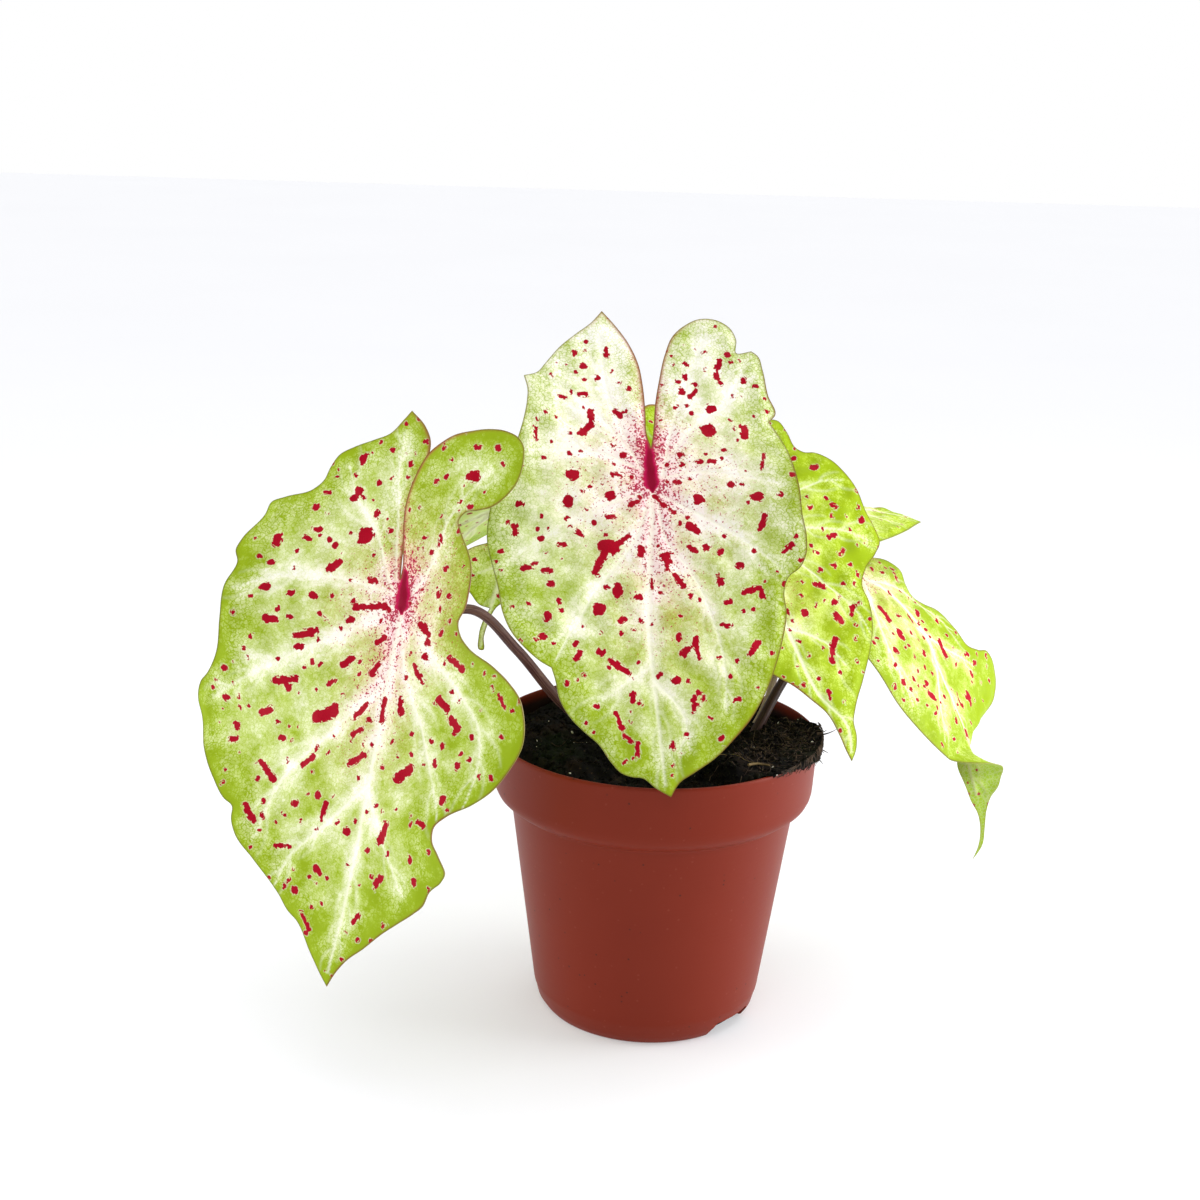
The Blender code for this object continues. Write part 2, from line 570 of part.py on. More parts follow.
def make_soil():
    profile, lip = soil_profile()
    over_rim = POT_HEIGHT + 2.0 * GAP
    outside = POT_RIM_RADIUS + 2.0 * GAP
    breast, run = CLUMP_BREAST

    def shape(number, angle, radius, height):
        share = clump_share(angle)
        climb = float(ease(share / 0.16))
        spread = float(ease((share - 0.23) / 0.11))
        low = over_rim - clump_hang(angle)
        around = [(outside, over_rim), (outside + 0.1, low + 0.15), (CLUMP_REACH - 0.1, low + 0.3),
                  (CLUMP_REACH, over_rim + 0.9)]
        if number < lip:
            return radius, height
        if number == lip:
            return radius, height + climb * (over_rim - GAP - height)
        if number <= lip + len(around):
            reach, level = around[number - lip - 1]
            return radius + spread * (reach - radius), height + climb * (level - height)
        rise = climb * float(ease((radius - breast) / run)) * (CLUMP_TOP - SOIL_LEVEL)
        calm = 1.0 - 0.8 * climb * float(ease((radius - CLUMP_CALM) / 6.0))
        return radius, height + rise + calm * soil_bump(angle, radius)

    points, faces = lathe(profile, SOIL_SEGMENTS, shape)
    soil = make_object("soil", points, faces, "soil")
    cut(soil, make_tuber_cavity())
    for name in STALKS:
        cut(soil, make_stalk_hole(name))
    return soil


def ball(radii):
    """Points and faces of a flattened ball about the tuber's centre."""
    profile = []
    for k in range(TUBER_RINGS + 1):
        angle = math.pi * k / TUBER_RINGS
        profile.append((math.sin(angle), -math.cos(angle)))
    points, faces = lathe(profile, TUBER_SEGMENTS)
    return points * np.array(radii) + np.array(TUBER_CENTRE), faces


def make_tuber():
    points, faces = ball(TUBER_RADII)
    return make_object("tuber", points, faces, "tuber")


def make_tuber_cavity():
    points, faces = ball([radius + 2.0 * GAP for radius in TUBER_RADII])
    return make_object("tuber_cavity", points, faces)


def main():
    clear_scene()
    make_pot()
    make_soil()
    make_tuber()
    for name, leaf in LEAVES.items():
        make_blade(name, leaf)
        make_petiole(name)


main()
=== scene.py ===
# The looks of a potted caladium: spotted leaves on dark stalks, in a terracotta-coloured plastic pot.
# Lengths in the dictionaries are millimetres. The frame and every mesh are in metres.
import math

import bpy
import numpy as np
from mathutils import Matrix, Vector
from mathutils.geometry import delaunay_2d_cdt


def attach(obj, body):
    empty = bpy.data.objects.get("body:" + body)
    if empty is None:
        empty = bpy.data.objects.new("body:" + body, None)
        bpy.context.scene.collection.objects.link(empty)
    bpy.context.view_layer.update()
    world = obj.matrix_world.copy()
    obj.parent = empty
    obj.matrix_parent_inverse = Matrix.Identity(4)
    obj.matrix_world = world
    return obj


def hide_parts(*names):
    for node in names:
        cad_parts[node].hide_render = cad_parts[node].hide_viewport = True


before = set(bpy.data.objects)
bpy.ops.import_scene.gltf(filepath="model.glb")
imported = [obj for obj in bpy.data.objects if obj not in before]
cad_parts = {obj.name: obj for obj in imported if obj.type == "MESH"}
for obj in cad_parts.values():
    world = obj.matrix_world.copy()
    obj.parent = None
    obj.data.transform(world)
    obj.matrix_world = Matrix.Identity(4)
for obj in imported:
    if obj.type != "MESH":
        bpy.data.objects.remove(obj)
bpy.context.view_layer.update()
mm = 0.001
print("frame loaded with", len(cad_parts), "nodes")


# Camera, floor and light.

cameraSetup = {
    "target": (-21.57, 0.0, 156.73),
    "distance": 700.0,
    "elevation": 16.27,      # degrees above the horizon
    "roll": 1.7,             # the photograph leans by this much
    "lens": 58.07,
    "sensor": 36.0,
}


def makeCamera():
    data = bpy.data.cameras.new("camera")
    data.sensor_width = cameraSetup["sensor"]
    data.lens = cameraSetup["lens"]
    data.clip_start = 0.01
    data.clip_end = 50.0
    camera = bpy.data.objects.new("camera", data)
    bpy.context.scene.collection.objects.link(camera)
    e = math.radians(cameraSetup["elevation"])
    r = math.radians(cameraSetup["roll"])
    back = Vector((0.0, -math.cos(e), math.sin(e)))
    right = Vector((1.0, 0.0, 0.0))
    up = Vector((0.0, math.sin(e), math.cos(e)))
    leanRight = right * math.cos(r) + up * math.sin(r)
    leanUp = up * math.cos(r) - right * math.sin(r)
    place = (Vector(cameraSetup["target"]) + back * cameraSetup["distance"]) * mm
    camera.matrix_world = Matrix.Translation(place) @ Matrix((leanRight, leanUp, back)).transposed().to_4x4()
    bpy.context.scene.camera = camera


lightSetup = {
    "seen": 1.0,            # how bright the room is behind the plant
    "room": 0.40,           # how much light it gives
    "suns": (
        # name, the way to it, how wide it looks in degrees, strength
        ("skyLight", (0.10, 0.12, 1.0), 60.0, 1.05),
        ("backLight", (0.62, 0.80, 1.0), 50.0, 0.70),
        ("frontLight", (-0.25, -1.0, 0.75), 40.0, 0.62),
    ),
    "panels": (
        # name, place, aims at, size and watts
        ("leftPanel", (-0.78, -0.10, 0.26), (0.0, 0.0, 0.07), 0.5, 2.8),
        ("rightPanel", (0.78, -0.02, 0.26), (0.0, 0.0, 0.07), 0.5, 6.5),
    ),
}


def makeLights():
    for name, way, width, strength in lightSetup["suns"]:
        data = bpy.data.lights.new(name, "SUN")
        data.angle = math.radians(width)
        data.energy = strength
        light = bpy.data.objects.new(name, data)
        bpy.context.scene.collection.objects.link(light)
        light.matrix_world = Vector(way).to_track_quat("Z", "Y").to_matrix().to_4x4()
    for name, place, aim, size, watts in lightSetup["panels"]:
        data = bpy.data.lights.new(name, "AREA")
        data.shape = "SQUARE"
        data.size = size
        data.energy = watts
        light = bpy.data.objects.new(name, data)
        bpy.context.scene.collection.objects.link(light)
        away = Vector(place) - Vector(aim)
        light.matrix_world = Matrix.Translation(place) @ away.to_track_quat("Z", "Y").to_matrix().to_4x4()
    world = bpy.data.worlds.new("paleRoom")
    world.use_nodes = True
    n = Nodes(world.node_tree)
    backdrop = world.node_tree.nodes["Background"]
    strength = n.ramp(n.add("ShaderNodeLightPath", None, None, "Is Camera Ray"), 0.0, 1.0,
                      lightSetup["room"], lightSetup["seen"])
    backdrop.inputs["Color"].default_value = (1.0, 1.0, 1.0, 1.0)
    world.node_tree.links.new(strength, backdrop.inputs["Strength"])
    bpy.context.scene.world = world
    bpy.context.scene.view_settings.view_transform = "Standard"


# sRGB 0 to 255 as the linear colour that a shader takes.
def tone(red, green, blue):
    parts = (red, green, blue)
    return tuple(((c / 255.0 + 0.055) / 1.055) ** 2.4 if c > 10 else c / 3294.6 for c in parts) + (1.0,)


# Node helpers.

# Short calls that add a node, feed it and give back its output.
class Nodes:

    def __init__(self, tree):
        self.tree = tree

    def add(self, kind, settings=None, feeds=None, out=0):
        node = self.tree.nodes.new(kind)
        for key, value in (settings or {}).items():
            setattr(node, key, value)
        for key, value in (feeds or {}).items():
            socket = node.inputs[key]
            if isinstance(value, bpy.types.NodeSocket):
                self.tree.links.new(value, socket)
            else:
                socket.default_value = value
        return node.outputs[out]

    def math(self, operation, a, b=0.0, clamp=False):
        return self.add("ShaderNodeMath", {"operation": operation, "use_clamp": clamp}, {0: a, 1: b})

    # A smooth step of the value from low to high.
    def ramp(self, value, low, high, toLow=0.0, toHigh=1.0):
        return self.add("ShaderNodeMapRange", {"interpolation_type": "SMOOTHSTEP"},
                        {"Value": value, "From Min": low, "From Max": high, "To Min": toLow, "To Max": toHigh})

    def mix(self, share, first, second):
        node = self.tree.nodes.new("ShaderNodeMix")
        node.data_type = "RGBA"
        for socket, value in ((node.inputs[0], share), (node.inputs[6], first), (node.inputs[7], second)):
            if isinstance(value, bpy.types.NodeSocket):
                self.tree.links.new(value, socket)
            else:
                socket.default_value = value
        return node.outputs[2]

    # A colour ramp through (place, colour) pairs.
    def stops(self, value, colours):
        node = self.tree.nodes.new("ShaderNodeValToRGB")
        band = node.color_ramp
        while len(band.elements) < len(colours):
            band.elements.new(0.5)
        for element, (place, colour) in zip(band.elements, colours):
            element.position = place
            element.color = colour
        self.tree.links.new(value, node.inputs["Fac"])
        return node.outputs["Color"]

    def attribute(self, name, out="Fac"):
        return self.add("ShaderNodeAttribute", {"attribute_type": "GEOMETRY", "attribute_name": name}, out=out)

    def noise(self, vector, scale, detail=2.0, out="Fac"):
        return self.add("ShaderNodeTexNoise", None, {"Vector": vector, "Scale": scale, "Detail": detail}, out)

    def cells(self, vector, scale, feature="F1", out="Distance"):
        return self.add("ShaderNodeTexVoronoi", {"feature": feature}, {"Vector": vector, "Scale": scale}, out)

    def stretch(self, vector, scale):
        return self.add("ShaderNodeMapping", None, {"Vector": vector, "Scale": scale})

    def object(self):
        return self.add("ShaderNodeTexCoord", None, None, "Object")


def newMaterial(name, roughness, specular=0.5):
    material = bpy.data.materials.new(name)
    material.use_nodes = True
    shader = material.node_tree.nodes["Principled BSDF"]
    shader.inputs["Roughness"].default_value = roughness
    shader.inputs["Specular IOR Level"].default_value = specular
    return material, Nodes(material.node_tree), shader


def finishMaterial(material, nodes, shader, colour, height=None, depth=0.0002, strength=0.5):
    nodes.tree.links.new(colour, shader.inputs["Base Color"])
    if height is not None:
        bump = nodes.add("ShaderNodeBump", None, {"Height": height, "Distance": depth, "Strength": strength})
        nodes.tree.links.new(bump, shader.inputs["Normal"])
    return material


# Mesh helpers.

def makeMesh(name, points, faces, materials, faceMaterials=None, attributes=None):
    mesh = bpy.data.meshes.new(name)
    mesh.from_pydata([tuple(p) for p in np.asarray(points, float) * mm], [], faces)
    for material in materials:
        mesh.materials.append(material)
    if faceMaterials is not None:
        mesh.polygons.foreach_set("material_index", np.asarray(faceMaterials, np.int32))
    for key, values in (attributes or {}).items():
        values = np.asarray(values, np.float32)
        kind = "FLOAT_VECTOR" if values.ndim == 2 else "FLOAT"
        layer = mesh.attributes.new(key, kind, "POINT")
        layer.data.foreach_set("vector" if values.ndim == 2 else "value", values.ravel())
    mesh.shade_smooth()
    mesh.update()
    item = bpy.data.objects.new(name, mesh)
    bpy.context.scene.collection.objects.link(item)
    return item


# The object with its modifiers worked into a plain mesh, at the origin.
def settle(item):
    graph = bpy.context.evaluated_depsgraph_get()
    mesh = bpy.data.meshes.new_from_object(item.evaluated_get(graph), depsgraph=graph)
    name = item.name
    if item.type == "MESH":
        item.modifiers.clear()
        item.data = mesh
        return item
    bpy.data.objects.remove(item)
    made = bpy.data.objects.new(name, mesh)
    bpy.context.scene.collection.objects.link(made)
    return made


# A smooth curve through the points, read at about this step.
def smoothRun(points, step):
    p = np.array(points, float)
    t = np.concatenate([[0.0], np.cumsum(np.linalg.norm(np.diff(p, axis=0), axis=1))])
    slope = np.gradient(p, t, axis=0)
    at = np.linspace(0.0, t[-1], max(2, int(round(t[-1] / step)) + 1))
    i = np.clip(np.searchsorted(t, at, side="right") - 1, 0, len(p) - 2)
    width = (t[i + 1] - t[i])[:, None]
    u = (at - t[i])[:, None] / width
    start = (1 + 2 * u) * (1 - u) ** 2 * p[i] + u * (1 - u) ** 2 * width * slope[i]
    end = u * u * (3 - 2 * u) * p[i + 1] + u * u * (u - 1) * width * slope[i + 1]
    return start + end


def ease(t):
    t = np.clip(t, 0.0, 1.0)
    return t * t * (3.0 - 2.0 * t)


# Smooth seeded noise between -1 and 1 over flat places, from a few slanted waves.
def wander(places, seed, size):
    pick = np.random.default_rng(seed)
    total = np.zeros(len(places))
    for _ in range(7):
        turn = pick.uniform(0.0, 2.0 * math.pi)
        wave = pick.uniform(0.7, 1.5) * 2.0 * math.pi / size
        total += np.sin(wave * (places[:, 0] * math.cos(turn) + places[:, 1] * math.sin(turn))
                        + pick.uniform(0.0, 2.0 * math.pi))
    return total / 3.5


# The leaves.

# Places on a leaf are flat: x to the right of the midrib and s along it, from the stalk towards the tip.
# A spot is (x, s, length, width, turn in degrees). A vein is a run of places.
# The outlines, most of the spots on the four front leaves and many of their veins were read in the photograph
# and turned into these millimetres by another script. They record this plant and follow no rule.
# green is how green the blade is at its lobes and at its tip, and how much that changes to each side.
# margin is how much greener its edge is, and brown is how dark the line along its left and right edge is.
# veil is how much the main veins pale the blade beside them, and lime how yellow its green is.
# flush is how strong the pink is round the stalk and in the wedge below it, and how far it reaches.
leaves = {
    "left": {
        "attach": (-87.7, -45.0, 165.7), "heading": -122.8, "pitch": 63.6, "length": 132.0, "droop": 16.0,
        "arch": (-5.0, -5.0),
        "lobes": (-3.0, 4.0),
        "sinus": ((-9, -4.6), (-16, -6.2), (-27, -9.2), (-42, -10), (-52, -8.5), (-60, -6)),
        "waves": ((-1, 12, 22, 5), (1, -2, 13, 9), (-1, 95, 18, 6), (1, 72, 10, 10), (1, 40, 18, -5),
                  (-1, 55, 16, -5), (1, -42, 14, -5)),
        "runs": (
            ((-4.6, -9), (-6.2, -14), (-8.4, -21), (-10.6, -28), (-12, -35), (-11.5, -44), (-10, -52),
             (-11, -58), (-15, -63), (-22, -67.5)),
            ((-22, -67.5), (-24, -64), (-28, -58), (-33, -55), (-40, -51), (-45, -47), (-47, -42),
             (-48, -37), (-51, -33), (-60, -28), (-64, -25), (-64, -20), (-67, -9), (-67, -5), (-64.5, -1),
             (-65, 8), (-64, 19), (-65, 31), (-69, 38), (-73, 42), (-76, 49), (-74, 55), (-70, 62),
             (-64, 68), (-58, 73), (-51, 78.5), (-47, 80.5), (-46, 84), (-43, 89), (-35, 96), (-24, 106),
             (-20, 110.5), (-16, 113), (-9, 122), (-3, 129), (0, 132)),
            ((0, 132), (2, 128), (6.5, 121.5), (13.5, 115), (20.5, 108), (27, 102.5), (33, 97.5),
             (36.5, 94), (38.5, 89), (44, 84), (47.5, 79), (45, 75), (40, 71), (38.5, 67), (41, 63.5),
             (49, 57.5), (54, 52), (58, 43), (60.5, 35), (60.5, 28), (58, 21), (53, 17), (46, 13.5),
             (32, 8.5), (28.5, 6), (26, 1.5), (27.5, -3), (26, -11), (24, -18), (17, -28)),
            ((17, -28), (15, -31.5), (16.5, -34.5), (21, -36), (26, -38), (31, -43), (34, -49),
             (34.5, -55), (33, -60), (30, -62.5), (25, -64), (17, -64), (10, -62.5), (3, -60),
             (-1.5, -56.5), (-5, -52.5), (-7.5, -45), (-8.4, -36), (-7.6, -28), (-6.4, -20.5), (-5.1, -14),
             (-4.6, -9)),
        ),
        "green": (0.52, 0.70, 0.05), "margin": 0.48, "brown": (0.25, 0.75),
        "flush": (1.0, 0.8, 14.5), "seed": 11,
        "veil": 0.50, "lime": 0.15,
        "heart": (((-3.5, -11), (-2, -6), (0, 2.5)), 2.3),
        "veins": (
            ((0, 2), (1, 15), (3, 39), (4, 63), (4, 83), (3, 104), (0, 127)),
            ((-3, 0), (-18, 12), (-35, 23), (-52, 35), (-68, 46)),
            ((-6, -3), (-30, -4), (-50, 1), (-62, 8)),
            ((0, 28), (-15, 46), (-32, 67), (-36, 88)),
            ((2, 8), (9, 24), (20, 38), (31, 56), (39, 66)),
            ((12, 12), (29, 22), (42, 33), (46, 49), (46, 60)),
            ((-7, -5), (-20, -22), (-34, -34), (-40, -44)),
            ((-6, -8), (-14, -28), (-20, -46), (-22, -60)),
            ((2, -4), (8, -18), (12, -34), (22, -50)),
            ((3, 62), (-12, 80), (-22, 92), (-26, 103)),
            ((4, 64), (18, 82), (26, 92)),
        ),
        "spots": (
            (-20, 42, 10.9, 4.0, 155), (27, 29, 7, 2.8, 30), (33, 34, 7, 2.8, 35),
            (-24, -21, 6.2, 5.0, 65), (18, 54, 8.9, 3.4, 140), (-13, 3, 12.9, 2.2, 165),
            (15, 75, 8.7, 3.2, 100), (-38, 34, 11.4, 2.3, 165), (-38, 35, 6.4, 2.4, 45),
            (-39, 66, 10.7, 2.4, 30), (-34, 17, 9.7, 2.3, 155), (-31, -8, 6.5, 3.1, 140),
            (16, -47, 5.3, 3.7, 170), (-45, 46, 7.8, 2.3, 155), (-6, 38, 7.8, 2.3, 130),
            (29, 15, 8.5, 2.1, 20), (-3, 54, 8.3, 2.1, 140), (3, 36, 9.1, 1.9, 85),
            (-55, -12, 5.4, 3.2, 65), (-40, 81, 8.9, 1.9, 40), (-23, 59, 7.8, 2.1, 135),
            (12, 6, 7.7, 2.1, 30), (-47, 15, 5.5, 2.9, 165), (-12, 74, 7.3, 2.1, 100),
            (14, 21, 8.2, 1.7, 45), (-4, 23, 5.6, 2.4, 120), (10, 33, 7.0, 1.9, 65),
            (-16, 23, 6.3, 2.0, 140), (16, 91, 5.2, 2.3, 110), (-35, -47, 4.2, 2.6, 70),
            (-5, 45, 6.2, 1.7, 140), (-52, 5, 3.8, 2.7, 165), (-33, -36, 3.4, 3.0, 70),
            (-10, 94, 4.8, 2.0, 45), (-43, -19, 4.3, 2.2, 165), (-5, 13, 4.7, 2.0, 135),
            (-12, 112, 7.1, 1.3, 50), (9, 106, 5.4, 1.7, 115), (-25, 89, 5.6, 1.6, 170),
            (-15, -6, 3.8, 2.2, 170), (-57, 59, 4.1, 2.0, 165), (37, 59, 3.1, 2.6, 60),
            (-35, 4, 3.5, 2.3, 165), (-20, 31, 4.7, 1.7, 140), (-62, 35, 2.9, 2.7, 0),
            (-47, -27, 3.4, 2.3, 165), (32, 68, 5.4, 1.4, 10), (-57, 54, 3.1, 2.4, 170),
            (-23, -29, 3.2, 2.3, 65), (-36, 54, 3.2, 2.3, 170), (-24, 74, 2.8, 2.6, 0),
            (-18, 103, 2.8, 2.6, 0), (-1, 78, 2.9, 2.5, 165), (-34, -33, 2.8, 2.5, 170),
            (29, 80, 3.3, 2.1, 90), (-35, 22, 3.6, 1.9, 165), (-15, 69, 2.6, 2.6, 0),
            (51, 23, 6.0, 1.1, 45), (-19, 9, 3.3, 2.0, 170), (15, 15, 2.6, 2.5, 0),
            (-43, 5, 2.8, 2.3, 165), (9, -24, 4.2, 1.5, 100), (-62, 45, 2.9, 2.0, 170),
            (14, -6, 3.2, 1.8, 70), (-45, -33, 3.8, 1.5, 170), (-29, 10, 5.1, 1.1, 20),
            (32, 87, 2.5, 2.2, 80), (-26, -40, 2.6, 2.1, 70), (14, 10, 2.6, 2.1, 70),
            (38, 47, 2.6, 2.1, 70), (29, 48, 3.0, 1.8, 70), (15, -57, 3.0, 1.7, 175),
            (-45, -15, 3.9, 1.3, 15), (20, 6, 2.3, 2.2, 0), (30, 42, 2.5, 2.0, 75),
            (-16, -49, 2.6, 1.9, 70), (16, -29, 3.8, 1.3, 100), (-34, -15, 2.2, 2.2, 0),
            (23, -58, 2.5, 1.9, 175), (17, -1, 3.3, 1.4, 70), (18, -37, 2.3, 1.9, 170),
            (-54, -4, 2.4, 1.8, 165), (27, -53, 2.1, 1.9, 0), (14, -15, 2.1, 1.9, 0),
        ),
    },
    "middle": {
        "attach": (-4.6, -12.0, 202.2), "heading": -81.1, "pitch": 48.8, "length": 109.8, "droop": 20.0,
        "arch": (-3.0, -3.0),
        "waves": ((-1, 20, 16, -5), (1, 10, 16, 5), (-1, 70, 14, 5), (1, 60, 14, -5), (-1, -30, 14, 5),
                  (1, -25, 14, -4)),
        "runs": (
            ((1, -15.5), (0, -20), (0.2, -30), (0.2, -40), (-0.8, -50), (-3.7, -58.5), (-8, -66),
             (-12.3, -72)),
            ((-12.3, -72), (-16.5, -67), (-22.5, -62), (-29, -56), (-34.5, -49), (-38, -44.5),
             (-42.8, -42.5)),
            ((-42.8, -42.5), (-42, -37), (-42.6, -31), (-44.5, -23), (-46.5, -17), (-49, -10), (-53, -2),
             (-57, 8), (-58.5, 18), (-57.5, 28), (-56, 38), (-55, 47), (-52.5, 54), (-48, 60), (-43, 64.5),
             (-39.5, 66.5)),
            ((-39.5, 66.5), (-38.5, 70), (-37, 77), (-33, 83.5), (-29, 87.5), (-24, 92), (-20, 98),
             (-16.5, 101.7), (-13, 103), (-9.5, 103.5), (-5, 107), (0, 110)),
            ((0, 110), (3, 105.5), (8.5, 102), (15.5, 97.5), (22, 91.5), (28, 85), (33.5, 76.5),
             (37.7, 68), (41.2, 58.5), (43.3, 48), (42.8, 41), (44.5, 36), (49, 32.5), (51.2, 28),
             (51.5, 22), (50.5, 15), (50.6, 5), (50.4, -5), (49.4, -14.5), (47, -22), (45, -26)),
            ((45, -26), (47.6, -29), (45.5, -36), (44.3, -46), (43, -52), (41, -54)),
            ((41, -54), (35.5, -53.5), (36, -59), (34.3, -64), (29, -68), (23.5, -68.5), (17.5, -65.7),
             (13, -61.5), (9.3, -53.5), (6.2, -42.5), (4, -33), (2.7, -24), (1.6, -18), (1, -15.5)),
        ),
        "green": (0.10, 0.78, 0.03), "margin": 0.20, "brown": (0.3, 0.85),
        "flush": (1.0, 0.85, 16.0), "seed": 23,
        "veil": 0.36, "lime": 0.0,
        "heart": (((0.5, -17), (0, -8), (0, 2.5)), 2.1),
        "veins": (
            ((0, 2), (-3, 28), (-5, 60), (-4, 77), (-2, 106)),
            ((-1, 4), (-8, 21), (-23, 40), (-32, 54), (-38, 64)),
            ((1, 5), (4, 23), (10, 31), (17, 49), (20, 62), (20, 82)),
            ((-4, 3), (-19, 8), (-33, 15), (-52, 28)),
            ((3, 4), (16, 12), (30, 22), (44, 34)),
            ((-3, -5), (-8, -19), (-13, -38), (-14, -60)),
            ((4, -4), (9, -23), (14, -36), (24, -60)),
            ((3, -3), (17, -5), (33, -2), (46, 3)),
            ((-5, -7), (-15, -12), (-27, -14), (-41, -13)),
            ((-5, 66), (-16, 73), (-25, 79)),
            ((-4, 71), (5, 82), (7, 95)),
            ((4, -8), (16, -22), (30, -34), (38, -48)),
            ((-4, -9), (-14, -24), (-26, -36), (-36, -42)),
        ),
        "spots": (
            (2.5, 28, 5.5, 3.4, 70), (6.5, 36, 6.5, 2.2, 60), (22, -22, 5.2, 5.2, 0),
            (-22, -22, 8.5, 2.8, 135), (-20, 28, 11.6, 2.6, 120), (-17, 23, 7.6, 4.4, 15),
            (-12, 21, 7.9, 1.9, 145), (-28, -4, 5.0, 4.3, 0), (35, -21, 6.8, 3.0, 95),
            (-22, 46, 4.6, 4.4, 0), (28, -47, 9.0, 2.1, 105), (-30, 6, 4.5, 4.2, 95),
            (-15, 39, 4.9, 3.5, 95), (13, 17, 6.3, 2.9, 40), (16, 6, 4.3, 4.3, 0), (-16, 66, 8.6, 2.0, 35),
            (11, 60, 8.7, 1.8, 85), (36, 7, 4.3, 3.6, 5), (-20, -27, 7.0, 2.1, 95),
            (31, 60, 7.2, 2.0, 125), (37, 16, 6.8, 2.0, 110), (24, -31, 3.8, 3.4, 0), (3, 7, 8.5, 1.3, 45),
            (-6, 25, 5.0, 2.3, 95), (-17, 84, 6.6, 1.6, 65), (40, -8, 8.2, 1.2, 105),
            (-46, 31, 4.4, 2.2, 0), (-12, -4, 5.0, 1.9, 0), (31, 40, 6.2, 1.7, 165),
            (35, 41, 4.8, 1.2, 80), (-49, 16, 5.3, 1.8, 90), (45, 26, 5.3, 1.7, 140),
            (-15, 4, 3.4, 3.0, 0), (7, 61, 4.7, 1.9, 135), (9, 79, 6.5, 1.5, 95), (12, 78, 4.2, 1.2, 120),
            (18, -37, 5.0, 1.7, 130), (-7, 7, 4.5, 1.8, 155), (-14, 50, 4.5, 1.8, 140),
            (-22, -36, 4.7, 1.6, 175), (21, 37, 3.2, 2.6, 0), (-30, 62, 4.4, 1.8, 130),
            (-40, 49, 3.7, 2.1, 95), (-16, 12, 4.2, 1.8, 0), (-39, 32, 4.2, 1.9, 0),
            (-12, 76, 4.4, 1.8, 95), (3, 71, 3.1, 2.4, 0), (-38, 37, 3.5, 2.2, 0), (12, 25, 4.3, 1.7, 35),
            (-30, -34, 3.4, 2.0, 175), (-10, -29, 4.0, 1.8, 45), (22, 52, 4.2, 1.8, 0),
            (28, 1, 2.8, 2.7, 0), (-42, 56, 2.8, 2.6, 0), (-24, -53, 3.6, 1.9, 95), (22, 26, 3.0, 2.4, 95),
            (-47, 7, 3.2, 2.2, 0), (17, 24, 2.9, 2.4, 0), (22, -9, 3.4, 2.0, 0), (-16, -43, 2.9, 2.3, 175),
            (-40, -19, 5.4, 1.2, 90), (-22, 61, 3.0, 2.2, 0), (-12, -54, 4.2, 1.5, 95),
            (14, -38, 3.2, 2.0, 95), (9, -1, 3.4, 1.8, 0), (5, 56, 3.3, 1.8, 95),
            (-21, -48, 3.0, 1.9, 175), (1, 93, 3.2, 1.8, 90), (-11, 94, 5.0, 1.1, 90),
            (-33, 22, 3.3, 1.7, 0), (23, 44, 3.3, 1.7, 0), (17, -9, 3.5, 1.6, 0), (-14, 90, 4.1, 1.3, 35),
            (11, -12, 2.5, 2.1, 0), (-8, 42, 2.5, 2.1, 0), (16, -44, 3.0, 1.7, 95),
            (-27, 18, 3.6, 1.4, 45), (-54, 24, 2.5, 2.0, 0), (32, -53, 2.5, 2.1, 0),
            (-9, -12, 2.5, 2.0, 0), (37, -42, 2.5, 2.0, 95), (28, 31, 2.5, 2.0, 5), (24, 78, 3.0, 1.6, 0),
            (-3, 36, 5.4, 0.8, 95),
        ),
    },
    "right": {
        "attach": (30.0, 22.0, 179.6), "heading": -44.5, "pitch": 42.7, "length": 94.6, "droop": 20.0,
        "bank": 14.0, "arch": (-2.0, -2.0),
        "waves": ((1, 20, 14, -4), (1, 55, 12, 4), (-1, 30, 14, -3)),
        "runs": (
            ((2, -9), (4, -21), (6, -34), (6, -46), (2, -56), (-5, -60), (-13, -57), (-19, -48),
             (-23, -34), (-27, -14), (-32, 5), (-34, 20), (-33, 33), (-27, 46), (-18, 57), (-12.5, 62.5),
             (-7.5, 69.5), (-3.3, 76), (-1.4, 85), (-0.8, 91), (0, 95)),
            ((0, 95), (3, 92), (5.5, 87), (6.3, 82), (9.5, 77), (17, 68.5), (24, 60), (30, 50.5), (33, 43),
             (34, 37), (40, 31), (48, 27), (54, 22.5), (55, 17.5), (54.3, 10), (54.8, 2), (54, -5),
             (51.5, -13), (47, -18), (43.5, -19.5), (41.5, -22), (42, -30), (41.5, -35.5), (36, -38),
             (27, -33), (17, -23), (8, -13), (2, -9)),
        ),
        "green": (0.80, 0.82, 0.0), "margin": 0.18, "brown": (0.9, 0.4),
        "flush": (0.8, 0.4, 12.0), "seed": 37,
        "veil": 0.36, "lime": 0.8,
        "heart": (((1, -10), (0, -4), (0, 1)), 1.8),
        "veins": (
            ((0, 2), (-3, 26), (-5, 48), (-4, 68), (3, 84), (1, 92)),
            ((3, 5), (16, 24), (20, 32), (26, 45), (27, 54)),
            ((5, 0), (26, 9), (41, 15), (50, 22)),
            ((5, -6), (20, -8), (33, -6), (42, -6), (51, -3)),
            ((-4, 42), (3, 47), (8, 52), (12, 62)),
            ((3, -8), (16, -20), (30, -28), (38, -32)),
            ((-3, 4), (-16, 14), (-28, 26)),
            ((-2, -8), (-8, -26), (-10, -48)),
        ),
        "spots": (
            (8, 57, 6.0, 2.0, 115), (11, 53, 5.5, 2.3, 135), (17, 45, 6.4, 2.7, 65),
            (34, 15, 5.7, 1.9, 170), (17, 31, 5.4, 1.9, 40), (43, -12, 3.4, 2.8, 20),
